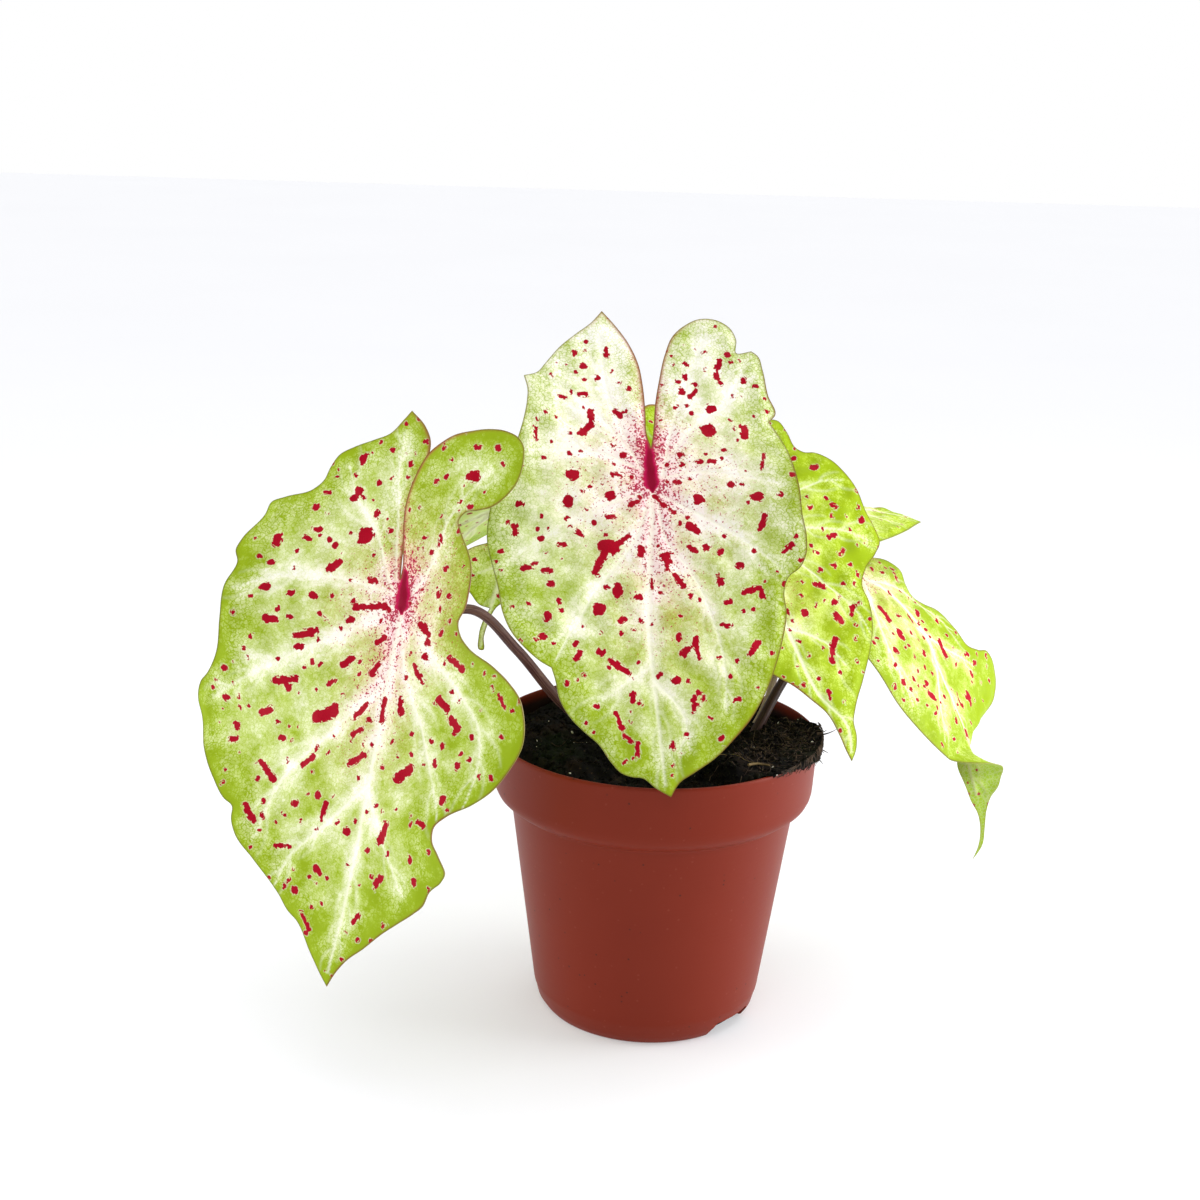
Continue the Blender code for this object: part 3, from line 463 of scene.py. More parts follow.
            (34, 22, 5.0, 1.7, 155), (41, 5, 3.8, 2.1, 20), (5, 39, 3.2, 2.7, 20), (19, 39, 3.0, 2.6, 0),
            (25, 43, 2.8, 2.4, 0), (50, 13, 2.8, 2.1, 120), (0, 70, 4.0, 1.2, 100), (27, 26, 2.9, 1.5, 20),
            (-3, 48, 2.1, 2.0, 0), (23, 19, 3.0, 1.4, 15), (31, 2, 2.8, 1.4, 20), (33, -14, 2.3, 1.5, 125),
            (35, 32, 3.0, 1.1, 125), (37, -18, 2.2, 1.5, 20), (34, 28, 2.2, 1.5, 20),
            (-1, 54, 2.0, 1.6, 0), (-4, 43, 2.0, 1.4, 20), (-12, 63, 3.3, 0.9, 35), (40, 1, 1.8, 1.5, 0),
            (38, 8, 1.8, 1.5, 0), (31, 35, 3.0, 0.9, 125),
        ),
    },
    "far_right": {
        "attach": (80.2, 58.0, 152.3), "heading": -20.0, "pitch": 37.0, "length": 123.0, "droop": 50.0,
        "arch": (11.0, -4.0), "twist": (-112.0, 0.62, 0.78),
        "waves": ((1, 22, 8, -4), (1, 50, 10, 4), (-1, 30, 14, 3)),
        "runs": (
            ((2, -8), (-5, -13), (-13, -18), (-22, -17), (-29, -9), (-34, 3), (-38, 14), (-41, 26),
             (-41, 39), (-37, 54), (-30, 68), (-21, 79), (-14, 86), (-10, 93.5), (-8, 98), (-4.5, 101.8),
             (-2.3, 107), (-1.2, 114), (-0.2, 121), (3.5, 127.5)),
            ((3.5, 127.5), (1.4, 121.5), (0.6, 115), (1.2, 108), (3.4, 102), (4.4, 97), (5.8, 91),
             (9, 85.5), (15, 81.5), (24, 79), (36, 77.5), (48, 75), (55, 69.5), (56.5, 63.5), (52, 57.5),
             (44, 54), (37.5, 49), (38.3, 41), (37, 31), (32, 25.5), (28, 19), (29.5, 15), (34, 9.5),
             (32, 4), (22, -3), (12, -8), (2, -8)),
        ),
        "green": (0.66, 0.96, 0.08), "margin": 0.26, "brown": (0.35, 0.45),
        "flush": (0.5, 0.2, 12.0), "seed": 41,
        "veil": 0.34, "lime": 0.2,
        "heart": (((1, -9), (0, -4), (0, 1)), 1.6),
        "veins": (
            ((0, 0), (8, 10), (11, 34), (2, 51), (1, 69), (2, 84), (1, 100)),
            ((-2, 2), (-16, 14), (-28, 30), (-32, 48)),
            ((5, 4), (20, 14), (30, 30), (36, 44)),
            ((8, 30), (20, 44), (36, 58)),
            ((-3, -2), (-16, -4), (-26, 2)),
            ((2, 46), (-14, 58), (-22, 70)),
        ),
        "spots": (
            (18, 43, 8.5, 3.1, 120), (-12, 26, 5.1, 5.1, 0), (-11, 16, 8.0, 3.0, 95),
            (19, 65, 5.5, 3.4, 145), (2, 75, 4.8, 3.4, 20), (8, 63, 7.1, 2.1, 85), (-17, 52, 5.8, 2.5, 50),
            (31, 60, 3.7, 3.3, 135), (-17, 47, 3.3, 2.9, 20), (18, 26, 4.5, 2.1, 160),
            (-4, 38, 4.0, 2.3, 155), (-23, 29, 3.2, 2.5, 25), (8, 25, 5.7, 1.4, 125),
            (-31, 40, 3.0, 2.4, 25), (25, 10, 4.1, 1.6, 115), (-30, 33, 2.9, 1.8, 25),
            (29, 34, 2.6, 1.9, 155), (26, 22, 3.5, 1.4, 80), (-2, 29, 2.8, 1.7, 160),
            (37, 57, 3.0, 1.5, 20), (33, 52, 3.6, 1.2, 20), (13, 29, 3.2, 1.3, 160),
            (-13, 36, 2.7, 1.5, 155), (13, 1, 2.5, 1.6, 160), (-16, 31, 2.1, 1.8, 0),
            (-6, 67, 2.7, 1.4, 145), (-24, 42, 2.3, 1.6, 145), (21, 52, 1.9, 1.9, 0),
            (18, 5, 2.5, 1.3, 20), (-7, 46, 1.9, 1.6, 0), (-29, 20, 3.0, 1.0, 30), (-1, 21, 2.3, 1.3, 20),
        ),
    },
    "back_right": {
        "attach": (49.3, 74.0, 173.8), "heading": 22.0, "pitch": -3.5, "length": 64.7, "droop": 22.0,
        "bank": 4.0, "arch": (8.0, 36.0),
        "waves": (),
        "runs": (
            ((0, -8), (-5, -17), (-11, -25), (-18, -27), (-26, -21), (-31, -9), (-34, 6), (-34, 22),
             (-28, 35), (-20, 46), (-9, 57), (0, 65)),
            ((0, 65), (9, 55), (17, 42), (24, 28), (29, 13), (30, -2), (27, -14), (22, -23), (16, -27),
             (10, -23), (5, -16), (0, -8)),
        ),
        "green": (0.60, 0.66, 0.0), "margin": 0.3, "brown": (0.3, 0.5),
        "flush": (0.6, 0.3, 9.0), "seed": 53,
        "veil": 0.4, "lime": 1.0,
        "heart": (((0, -9), (0, -4), (0, 1)), 1.4),
        "veins": (
            ((0, 1), (0, 30), (0, 62)),
            ((-2, 2), (-14, 14), (-24, 30)),
            ((2, 2), (14, 12), (22, 26)),
            ((0, 26), (-10, 40), (-14, 48)),
            ((0, 26), (10, 36), (14, 44)),
            ((-2, -4), (-14, -14), (-22, -18)),
            ((2, -4), (12, -14), (20, -18)),
        ),
        "spots": (
            (-14, 10, 3.4, 2.4, 30), (12, 6, 4.0, 2.2, 120), (-8, 28, 3.0, 2.0, 60),
            (9, 24, 4.4, 1.8, 140), (-20, 20, 3.2, 2.2, 0), (20, 14, 3.0, 2.0, 45), (-4, 44, 2.6, 1.6, 90),
        ),
    },
    "small": {
        "attach": (-57.2, 34.0, 162.2), "heading": -100.0, "pitch": 55.0, "length": 34.0, "droop": 14.0,
        "arch": (5.0, 5.0),
        "waves": (),
        "runs": (
            ((0, -3), (-4, -6), (-10, -5), (-16, -2), (-19, 3), (-17, 10), (-12, 15), (-8, 19), (-4, 20)),
            ((-4, 20), (-6, 25), (-7, 31), (-6, 36), (-5, 36), (-5, 31), (-4, 26), (-1, 19), (4, 16),
             (9, 11), (10, 3), (7, -4), (3, -6), (0, -3)),
        ),
        "green": (0.54, 0.62, 0.0), "margin": 0.15, "brown": (0.5, 0.5),
        "flush": (0.3, 0.1, 4.0), "seed": 61,
        "veil": 0.2, "lime": 0.6,
        "heart": (((0, -4), (0, -2), (0, 0)), 0.7),
        "veins": (
            ((0, 1), (-2, 12), (-5, 26), (-6, 35)),
            ((-1, 2), (-8, 6), (-14, 8)),
            ((1, 2), (5, 8), (7, 10)),
        ),
        "spots": ((-12, 2, 2.0, 1.4, 20), (-12, 8, 1.6, 1.4, 0)),
    },
    "back_left": {
        "attach": (-42.0, 52.0, 186.0), "heading": 136.6, "pitch": 19.0, "length": 71.1, "droop": 30.0,
        "arch": (5.0, 5.0),
        "waves": ((1, 20, 12, 4), (-1, 25, 12, -4)),
        "runs": (
            ((0, -8), (-5, -19), (-12, -29), (-20, -31), (-28, -23), (-32, -9), (-34, 6), (-32, 22),
             (-27, 38), (-19, 52), (-9, 64), (0, 71)),
            ((0, 71), (9, 62), (18, 50), (25, 36), (29, 22), (30, 6), (28, -10), (24, -22), (17, -30),
             (11, -27), (5, -18), (0, -8)),
        ),
        "green": (0.45, 0.6, 0.0), "margin": 0.3, "brown": (0.6, 0.6),
        "flush": (0.7, 0.4, 10.0), "seed": 71,
        "veil": 0.4, "lime": 0.7,
        "heart": (((0, -9), (0, -4), (0, 1)), 1.6),
        "veins": (
            ((0, 1), (0, 34), (0, 68)),
            ((-2, 2), (-14, 14), (-26, 28)),
            ((2, 2), (14, 12), (24, 26)),
            ((0, 28), (-10, 42), (-15, 52)),
            ((0, 28), (10, 40), (15, 50)),
            ((-2, -4), (-14, -16), (-22, -24)),
            ((2, -4), (12, -16), (20, -22)),
        ),
        "spots": (
            (-14, 10, 3.6, 2.4, 30), (12, 6, 4.0, 2.2, 120), (-8, 28, 3.0, 2.0, 60),
            (9, 24, 4.4, 1.8, 140), (-20, 20, 3.2, 2.2, 0), (20, 14, 3.0, 2.0, 45), (-4, 44, 2.6, 1.6, 90),
            (-20, -12, 3.4, 2.4, 20),
        ),
    },
}

bladeSetup = {
    "step": 0.78,           # the spacing of the mesh
    "thickness": 0.5,
    "margin": 0.3,          # the thickness at the very edge
    "pucker": 0.85,         # how far the blade puffs up between its veins
    "rib": 0.9,             # how far the main veins stand out underneath
    "bare": 15.0,           # how far from the stalk the side veins start
    "specks": 0.016,        # extra small spots per square millimetre
    "speckSize": (0.7, 1.5),
    "speckStretch": (1.0, 1.8),
    "speckRoom": 3.0,       # how far a speck keeps from the middle of every other spot
}

veinSetup = {
    # half width of the pale band beside the vein, and of the vein itself
    "midrib": (4.4, 1.25),
    "main": (3.6, 0.6),
    "side": (2.0, 0.45),
    "sideAngle": (42.0, 56.0),      # degrees off the main vein
    "sideReach": (9.0, 17.0),
    "sideSpacing": (5.0, 8.0),
    "sideBend": 0.6,        # how far a side vein turns back towards the tip, in radians
}

flushSetup = {
    # reaches are shares of the leaf's own reach
    "streakReach": 0.7,
    "round": 0.42,          # the strength round the stalk
    "roundReach": 1.7,
    "wedgeWidth": 3.0,      # half its width at the stalk
    "wedgeSpread": 0.30,    # how fast it widens towards the tip
    "wedgeReach": 2.7,
    "slit": 0.8,            # the strength beside the sinus
    "slitWidth": 3.4,
    "slitReach": 2.0,
    "onVeins": 0.6,         # how much the veins pale it
}


# Unit vectors along the midrib, up from the sheet and across it to the right.
def bladeAxes(leaf, s):
    t = s / leaf["length"]
    pitch = np.radians(leaf["pitch"] + leaf["droop"] * np.maximum(t, 0.0))
    heading = math.radians(leaf["heading"])
    turn, start, end = leaf.get("twist", (0.0, 0.5, 1.0))
    bank = np.radians(leaf.get("bank", 0.0) + turn * ease((t - start) / (end - start)))[:, None]
    level = np.array([math.cos(heading), math.sin(heading), 0.0])
    upright = np.array([0.0, 0.0, 1.0])
    along = np.cos(pitch)[:, None] * level - np.sin(pitch)[:, None] * upright
    up = np.sin(pitch)[:, None] * level + np.cos(pitch)[:, None] * upright
    across = np.array([-math.sin(heading), math.cos(heading), 0.0])
    return along, up * np.cos(bank) - across * np.sin(bank), across * np.cos(bank) + up * np.sin(bank)


def midribPoints(leaf, s):
    steps = np.linspace(-leaf["length"], 1.3 * leaf["length"], 921)
    along = bladeAxes(leaf, steps)[0]
    course = np.zeros((len(steps), 3))
    course[1:] = np.cumsum((along[1:] + along[:-1]) / 2.0 * (steps[1] - steps[0]), axis=0)
    start = [np.interp(0.0, steps, course[:, k]) for k in range(3)]
    places = np.stack([np.interp(s, steps, course[:, k]) for k in range(3)], axis=1)
    return places - start + np.array(leaf["attach"])


# How far the sheet rises above its midrib: arch, waved margins and lifted lobes.
def bladeHeight(leaf, x, s):
    left, right = leaf["arch"]
    height = -np.where(x < 0, left, right) * (x / 50.0) ** 2
    for side, place, width, rise in leaf["waves"]:
        height = height + rise * np.maximum(side * x / 50.0, 0.0) ** 2 * np.exp(-((s - place) / width) ** 2)
    if "lobes" in leaf:
        sinus = np.array(leaf["sinus"], float)
        middle = np.interp(-s, -sinus[:, 0], sinus[:, 1])
        height = height + np.where(x < middle, *leaf["lobes"]) * ease((sinus[0, 0] - s) / 25.0)
    return height


def insideOutline(outline, points):
    held = np.zeros(len(points), bool)
    for (x0, y0), (x1, y1) in zip(outline, np.roll(outline, -1, axis=0)):
        crosses = (y0 > points[:, 1]) != (y1 > points[:, 1])
        level = np.where(y1 == y0, 1.0, y1 - y0)
        held ^= crosses & (points[:, 0] < (x1 - x0) * (points[:, 1] - y0) / level + x0)
    return held


# Each point's distance to a run of straight pieces, and how far along it is, from 0 to 1.
def gapToRun(points, run):
    run = np.asarray(run, float)
    lengths = np.linalg.norm(np.diff(run, axis=0), axis=1)
    reached = np.concatenate([[0.0], np.cumsum(lengths)])
    gap = np.full(len(points), 1e9)
    share = np.zeros(len(points))
    for k, length in enumerate(lengths):
        way = (run[k + 1] - run[k]) / length
        u = np.clip((points - run[k]) @ way, 0.0, length)
        d = np.linalg.norm(points - run[k] - u[:, None] * way, axis=1)
        nearer = d < gap
        gap = np.where(nearer, d, gap)
        share = np.where(nearer, (reached[k] + u) / reached[-1], share)
    return gap, share


# The blade laid flat: its outline, its points in (x, s) and its triangles.
def flatBlade(leaf):
    step = bladeSetup["step"]
    outline = np.concatenate([smoothRun(run, step)[:-1] for run in leaf["runs"]])
    low = outline.min(axis=0)
    high = outline.max(axis=0)
    rows = np.arange(low[1], high[1], step * math.sqrt(3.0) / 2.0)
    grid = np.array([(x + 0.5 * step * (k % 2), s) for k, s in enumerate(rows)
                     for x in np.arange(low[0], high[0], step)])
    grid = grid[insideOutline(outline, grid)]
    gap = gapToRun(grid, np.vstack([outline, outline[:1]]))[0]
    grid = grid[gap > 0.5 * step]
    points = np.concatenate([outline, grid])
    border = list(range(len(outline)))
    result = delaunay_2d_cdt([Vector(p) for p in points], [], [border], 1, 1e-5)
    return outline, np.array([tuple(p) for p in result[0]]), [(a, c, b) for a, b, c in result[2]]


# Short curved veins that leave a main vein on alternate sides, from some way beyond the stalk.
def sideVeins(run, seed):
    pick = np.random.default_rng(seed)
    course = smoothRun(run, 1.0)
    made = []
    side = 1
    k = max(8, int(np.argmax(np.linalg.norm(course, axis=1) > bladeSetup["bare"])))
    while k < len(course) - 5:
        way = course[k + 1] - course[k - 1]
        angle = math.atan2(way[1], way[0]) + side * math.radians(pick.uniform(*veinSetup["sideAngle"]))
        reach = pick.uniform(*veinSetup["sideReach"])
        curve = []
        for u in np.linspace(0.0, 1.0, 7):
            bend = angle - side * veinSetup["sideBend"] * u
            curve.append(course[k] + reach * u * np.array([math.cos(bend), math.sin(bend)]))
        made.append(np.array(curve))
        side = -side
        k += int(pick.uniform(*veinSetup["sideSpacing"]))
    return made


# How near each place is to a vein: a broad soft field, and a narrow one for the vein itself.
def veinFields(leaf, places):
    wide = np.zeros(len(places))
    fine = np.zeros(len(places))
    for number, run in enumerate(leaf["veins"]):
        gap, share = gapToRun(places, smoothRun(run, 2.0))
        band, line = veinSetup["midrib"] if number == 0 else veinSetup["main"]
        spread = band * (1.0 - 0.45 * share)
        core = line * (1.0 - 0.6 * share)
        wide = np.maximum(wide, (1.0 - 0.35 * share) * np.exp(-(gap / spread) ** 2))
        fine = np.maximum(fine, (1.0 - 0.4 * share) * np.exp(-(gap / core) ** 4))
        band, line = veinSetup["side"]
        for side in sideVeins(run, leaf["seed"] * 100 + number):
            gap, share = gapToRun(places, side)
            wide = np.maximum(wide, 0.62 * (1.0 - 0.7 * share) * np.exp(-(gap / band) ** 2))
            fine = np.maximum(fine, 0.5 * (1.0 - 0.7 * share) * np.exp(-(gap / line) ** 2))
    return wide, fine


# Millimetres inside the nearest spot, or outside it where negative. Small specks are added by a fixed seed.
def spotField(leaf, places, outline):
    pick = np.random.default_rng(leaf["seed"])
    low = outline.min(axis=0)
    high = outline.max(axis=0)
    spots = list(leaf["spots"])
    count = int(bladeSetup["specks"] * (high[0] - low[0]) * (high[1] - low[1]))
    for _ in range(count):
        place = pick.uniform(low, high)
        room = bladeSetup["speckRoom"]
        if all(math.hypot(place[0] - spot[0], place[1] - spot[1]) > room for spot in spots):
            size = pick.uniform(*bladeSetup["speckSize"])
            long = size * pick.uniform(*bladeSetup["speckStretch"])
            spots.append((place[0], place[1], long, size, pick.uniform(0.0, 180.0)))
    field = np.full(len(places), -9.0)
    for x, s, long, wide, turn in spots:
        near = np.nonzero(np.hypot(places[:, 0] - x, places[:, 1] - s) < 0.5 * long + 4.0)[0]
        if not len(near):
            continue
        reach = 0.5 * (long - wide)
        way = reach * np.array([math.cos(math.radians(turn)), math.sin(math.radians(turn))])
        if reach < 0.05:
            gap = np.hypot(places[near, 0] - x, places[near, 1] - s)
        else:
            gap = gapToRun(places[near], (np.array([x, s]) - way, np.array([x, s]) + way))[0]
        field[near] = np.maximum(field[near], 0.5 * wide - gap)
    return field


# The brown line along the margins, strongest in the sinus between the lobes.
def rimField(leaf, places, outline, gap):
    x = places[:, 0]
    s = places[:, 1]
    left, right = leaf["brown"]
    strength = np.where(x < 0.0, left, right) * (0.75 + 0.35 * wander(places, leaf["seed"] + 5, 30.0))
    first = np.array(leaf["runs"][0][0], float)
    sinus = np.exp(-((x - first[0]) / 16.0) ** 2) * ease((-4.0 - s) / 8.0)
    strength = np.maximum(strength, sinus)
    return np.clip(strength, 0.0, 1.0) * np.exp(-(gap / 0.55) ** 2), sinus * np.exp(-(gap / 0.9) ** 2)


# The crimson streak from the sinus down to the stalk, broad above and drawn to a point below.
def heartField(leaf, places):
    run, width = leaf["heart"]
    gap, share = gapToRun(places, smoothRun(run, 1.0))
    spread = width * (0.60 + 0.70 * ease(1.3 * share) - 1.0 * ease(6.0 * share - 5.0))
    spread = spread * (1.0 + 0.2 * wander(places, leaf["seed"] + 9, 5.0))
    return np.exp(-(gap / spread) ** 2)


# The pink flush round the stalk, which follows the sinus up and runs on between the veins below.
def flushField(leaf, places, fine):
    near, below, reach = leaf["flush"]
    heartGap = gapToRun(places, smoothRun(leaf["heart"][0], 1.0))[0]
    x = places[:, 0]
    s = places[:, 1]
    start = leaf["heart"][0][1]
    streak = np.exp(-((heartGap / (flushSetup["streakReach"] * reach)) ** 2))
    stalk = flushSetup["round"] * np.exp(-((np.hypot(x, s) / (flushSetup["roundReach"] * reach)) ** 2))
    width = flushSetup["wedgeWidth"] + flushSetup["wedgeSpread"] * np.maximum(s, 0.0)
    wedge = below * np.exp(-((x / width) ** 2)) * np.exp(-((s / (flushSetup["wedgeReach"] * reach)) ** 2))
    wedge = np.where(s > -2.0, wedge, 0.0)
    slit = leaf["runs"][0]
    slitGap = np.minimum(gapToRun(places, slit)[0], gapToRun(places, leaf["runs"][-1][-5:])[0])
    beside = flushSetup["slit"] * np.exp(-((slitGap / flushSetup["slitWidth"]) ** 2))
    beside = beside * np.exp(-(((s - start[1]) / (flushSetup["slitReach"] * reach)) ** 2)) * (s < 0.0)
    field = np.maximum(np.maximum(near * streak, near * stalk), np.maximum(wedge, near * beside))
    return field * (1.0 - flushSetup["onVeins"] * fine)


def makeBlade(name, leaf, materials):
    outline, flat, faces = flatBlade(leaf)
    x = flat[:, 0]
    s = flat[:, 1]
    gap = gapToRun(flat, np.vstack([outline, outline[:1]]))[0]
    wide, fine = veinFields(leaf, flat)
    spot = spotField(leaf, flat, outline)
    rim, sinusRim = rimField(leaf, flat, outline, gap)
    heart = heartField(leaf, flat)
    flush = flushField(leaf, flat, fine)
    share = np.clip((s - outline[:, 1].min()) / np.ptp(outline[:, 1]), 0.0, 1.0)
    atLobes, atTip, sideways = leaf["green"]
    green = atLobes + (atTip - atLobes) * share + sideways * x / 40.0
    green += leaf["margin"] * (0.6 * np.exp(-gap / 4.0) + 0.4 * np.exp(-gap / 9.0))
    green -= leaf["veil"] * wide * (0.35 + 0.65 * ease(gap / 9.0))

    along, up, across = bladeAxes(leaf, s)
    middle = midribPoints(leaf, s) + x[:, None] * across + bladeHeight(leaf, x, s)[:, None] * up
    corners = middle[np.array(faces)]
    facing = np.cross(corners[:, 1] - corners[:, 0], corners[:, 2] - corners[:, 0])
    normals = np.zeros_like(middle)
    for k in range(3):
        np.add.at(normals, np.array(faces)[:, k], facing)
    normals /= np.linalg.norm(normals, axis=1)[:, None]

    inner = ease(gap / 4.0)
    pucker = bladeSetup["pucker"] * inner * (1.0 - wide) * (0.6 + 0.6 * wander(flat, leaf["seed"] + 1, 11.0))
    half = 0.5 * (bladeSetup["margin"] + (bladeSetup["thickness"] - bladeSetup["margin"]) * ease(gap / 3.0))
    ribs = bladeSetup["rib"] * fine * inner
    top = middle + (pucker + half - 0.12 * fine)[:, None] * normals
    under = middle + (pucker - half - ribs)[:, None] * normals
    count = len(middle)
    solid = list(faces) + [(c + count, b + count, a + count) for a, b, c in faces]
    slots = [0] * len(faces) + [1] * len(faces)
    edges = {edge for a, b, c in faces for edge in ((a, b), (b, c), (c, a))}
    border = sorted(edge for edge in edges if (edge[1], edge[0]) not in edges)
    solid += [(b, a, a + count, b + count) for a, b in border]
    slots += [2] * len(border)

    place = np.stack([x, s, np.full(len(x), float(leaf["seed"]))], axis=1)
    fields = {"leafPlace": place, "edgeGap": gap, "veinWide": wide, "veinFine": fine, "spotDepth": spot,
              "rimLine": rim, "sinusLine": sinusRim, "heart": heart, "flush": flush, "greenness": green,
              "lime": np.full(len(x), leaf["lime"])}
    fields = {key: np.concatenate([values, values]) for key, values in fields.items()}
    blade = makeMesh("leaf_" + name, np.concatenate([top, under]), solid, materials, slots, fields)
    blade.data.set_sharp_from_angle(angle=math.radians(70))
    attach(blade, "root")
    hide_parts("blade_" + name)
    print("leaf", name, "has", len(solid), "faces")
    return blade


def leafTopMaterial():
    material, n, shader = newMaterial("spottedLeaf", 0.5, 0.07)
    place = n.attribute("leafPlace", "Vector")
    fine = n.attribute("veinFine")
    flush = n.attribute("flush")
    patches = n.noise(place, 0.09, 2.0)
    mottle = n.noise(place, 0.42, 3.0)
    grain = n.noise(place, 2.1, 2.0)
    warp = n.add("ShaderNodeVectorMath", {"operation": "MULTIPLY_ADD"},
                 {0: n.noise(place, 0.9, 2.0, "Color"), 1: (1.6, 1.6, 0.0), 2: place})
    cellTone = n.add("ShaderNodeSeparateColor", None, {"Color": n.cells(warp, 0.75, out="Color")})
    net = n.cells(warp, 0.75, "DISTANCE_TO_EDGE")

    amount = n.attribute("greenness")
    for source, share in ((patches, 1.25), (mottle, 0.36), (cellTone, 0.14), (grain, 0.35)):
        amount = n.math("ADD", amount, n.math("MULTIPLY", n.math("SUBTRACT", source, 0.5), share))
    crackle = n.ramp(n.attribute("edgeGap"), 16.0, 4.0, 0.18, 0.42)
    amount = n.math("ADD", amount, n.math("MULTIPLY", n.ramp(net, 0.12, 0.0), crackle))
    amount = n.math("SUBTRACT", amount, n.math("MULTIPLY", flush, 0.55), True)
    colour = n.stops(amount, (
        (0.0, tone(251, 250, 240)), (0.22, tone(238, 239, 208)), (0.42, tone(214, 223, 168)),
        (0.60, tone(191, 205, 126)), (0.78, tone(170, 190, 84)), (0.92, tone(152, 176, 46)),
        (1.0, tone(142, 166, 24)),
    ))
    limed = n.stops(amount, (
        (0.0, tone(251, 252, 238)), (0.22, tone(236, 243, 196)), (0.42, tone(220, 234, 146)),
        (0.60, tone(201, 220, 104)), (0.78, tone(183, 206, 68)), (0.92, tone(164, 188, 30)),
        (1.0, tone(150, 176, 8)),
    ))
    colour = n.mix(n.attribute("lime"), colour, limed)
    colour = n.mix(n.math("MULTIPLY", fine, 0.85), colour, tone(249, 248, 228))

    blush = n.math("MULTIPLY", flush, n.ramp(mottle, 0.25, 0.7, 0.35, 0.95), True)
    colour = n.mix(n.math("MULTIPLY", blush, 0.78), colour, tone(237, 140, 162))
    fewer = n.math("ADD", n.noise(place, 1.5, 1.0), n.math("MULTIPLY", flush, 0.27))
    freckle = n.math("MULTIPLY", n.ramp(fewer, 0.71, 0.75), n.ramp(flush, 0.03, 0.12))
    colour = n.mix(n.math("MULTIPLY", freckle, n.math("SUBTRACT", 0.95, n.math("MULTIPLY", fine, 0.35))),
                   colour, tone(172, 14, 62))

    ragged = n.math("ADD", n.math("MULTIPLY", n.math("SUBTRACT", cellTone, 0.5), 0.9),
                    n.math("MULTIPLY", n.math("SUBTRACT", mottle, 0.5), 1.6))
    depth = n.math("ADD", n.math("ADD", n.attribute("spotDepth"), 0.12), ragged)
    colour = n.mix(n.ramp(depth, -0.5, -0.15, 0.0, 0.3), colour, tone(250, 246, 226))
    blood = n.mix(grain, tone(148, 0, 24), tone(176, 0, 36))
    colour = n.mix(n.ramp(depth, -0.12, 0.12), colour, blood)

    heart = n.attribute("heart")
    frayed = n.math("ADD", heart, n.math("MULTIPLY", n.math("SUBTRACT", n.noise(place, 1.1, 2.0), 0.5), 0.28))
    colour = n.mix(n.ramp(frayed, 0.15, 0.45), colour, tone(188, 14, 76))
    colour = n.mix(n.ramp(frayed, 0.42, 0.9), colour, tone(136, 0, 40))
    colour = n.mix(n.math("MULTIPLY", n.attribute("sinusLine"), 0.8), colour, tone(186, 44, 84))
    colour = n.mix(n.ramp(n.attribute("edgeGap"), 0.55, 0.1, 0.0, 0.7), colour, tone(100, 108, 40))
    colour = n.mix(n.attribute("rimLine"), colour, tone(128, 84, 40))

    height = n.math("SUBTRACT", n.math("ADD", n.math("MULTIPLY", grain, 0.4), n.math("MULTIPLY", net, 0.5)),
                    n.math("MULTIPLY", fine, 1.2))
    return finishMaterial(material, n, shader, colour, height, 0.0002, 0.5)


def leafUnderMaterial():
    material, n, shader = newMaterial("leafUnderside", 0.55, 0.15)
    place = n.attribute("leafPlace", "Vector")
    gap = n.attribute("edgeGap")
    amount = n.math("ADD", n.attribute("greenness"), n.math("MULTIPLY", n.ramp(gap, 10.0, 0.0), 0.5))
    amount = n.math("ADD", amount, n.math("MULTIPLY", n.math("SUBTRACT", n.noise(place, 0.1, 3.0), 0.5), 1.0))
    amount = n.math("SUBTRACT", amount, n.math("MULTIPLY", n.attribute("veinWide"), 0.4), True)
    colour = n.stops(amount, ((0.0, tone(232, 240, 190)), (0.5, tone(200, 222, 110)),
                              (1.0, tone(164, 196, 56))))
    net = n.cells(place, 0.8, "DISTANCE_TO_EDGE")
    colour = n.mix(n.ramp(net, 0.14, 0.0, 0.0, 0.35), colour, tone(214, 224, 176))
    depth = n.math("ADD", n.attribute("spotDepth"), n.math("SUBTRACT", n.noise(place, 0.5, 2.0), 0.5))
    colour = n.mix(n.ramp(depth, -0.3, 0.1, 0.0, 0.95), colour, tone(160, 24, 48))
    colour = n.mix(n.math("MULTIPLY", n.attribute("veinFine"), 0.8), colour, tone(216, 208, 176))
    colour = n.mix(n.ramp(n.attribute("heart"), 0.3, 0.8, 0.0, 0.6), colour, tone(150, 60, 70))
    colour = n.mix(n.attribute("rimLine"), colour, tone(132, 84, 40))
    return finishMaterial(material, n, shader, colour, net, 0.0002, 0.4)


def leafEdgeMaterial():
    material, n, shader = newMaterial("leafEdge", 0.5)
    colour = n.mix(n.attribute("rimLine"), tone(150, 170, 50), tone(132, 70, 44))
    cloud = n.math("MULTIPLY", n.noise(n.attribute("leafPlace", "Vector"), 0.5), 0.4)
    colour = n.mix(cloud, colour, tone(110, 90, 40))
    return finishMaterial(material, n, shader, colour)


# Stalks, roots and crumbs, by Geometry Nodes.

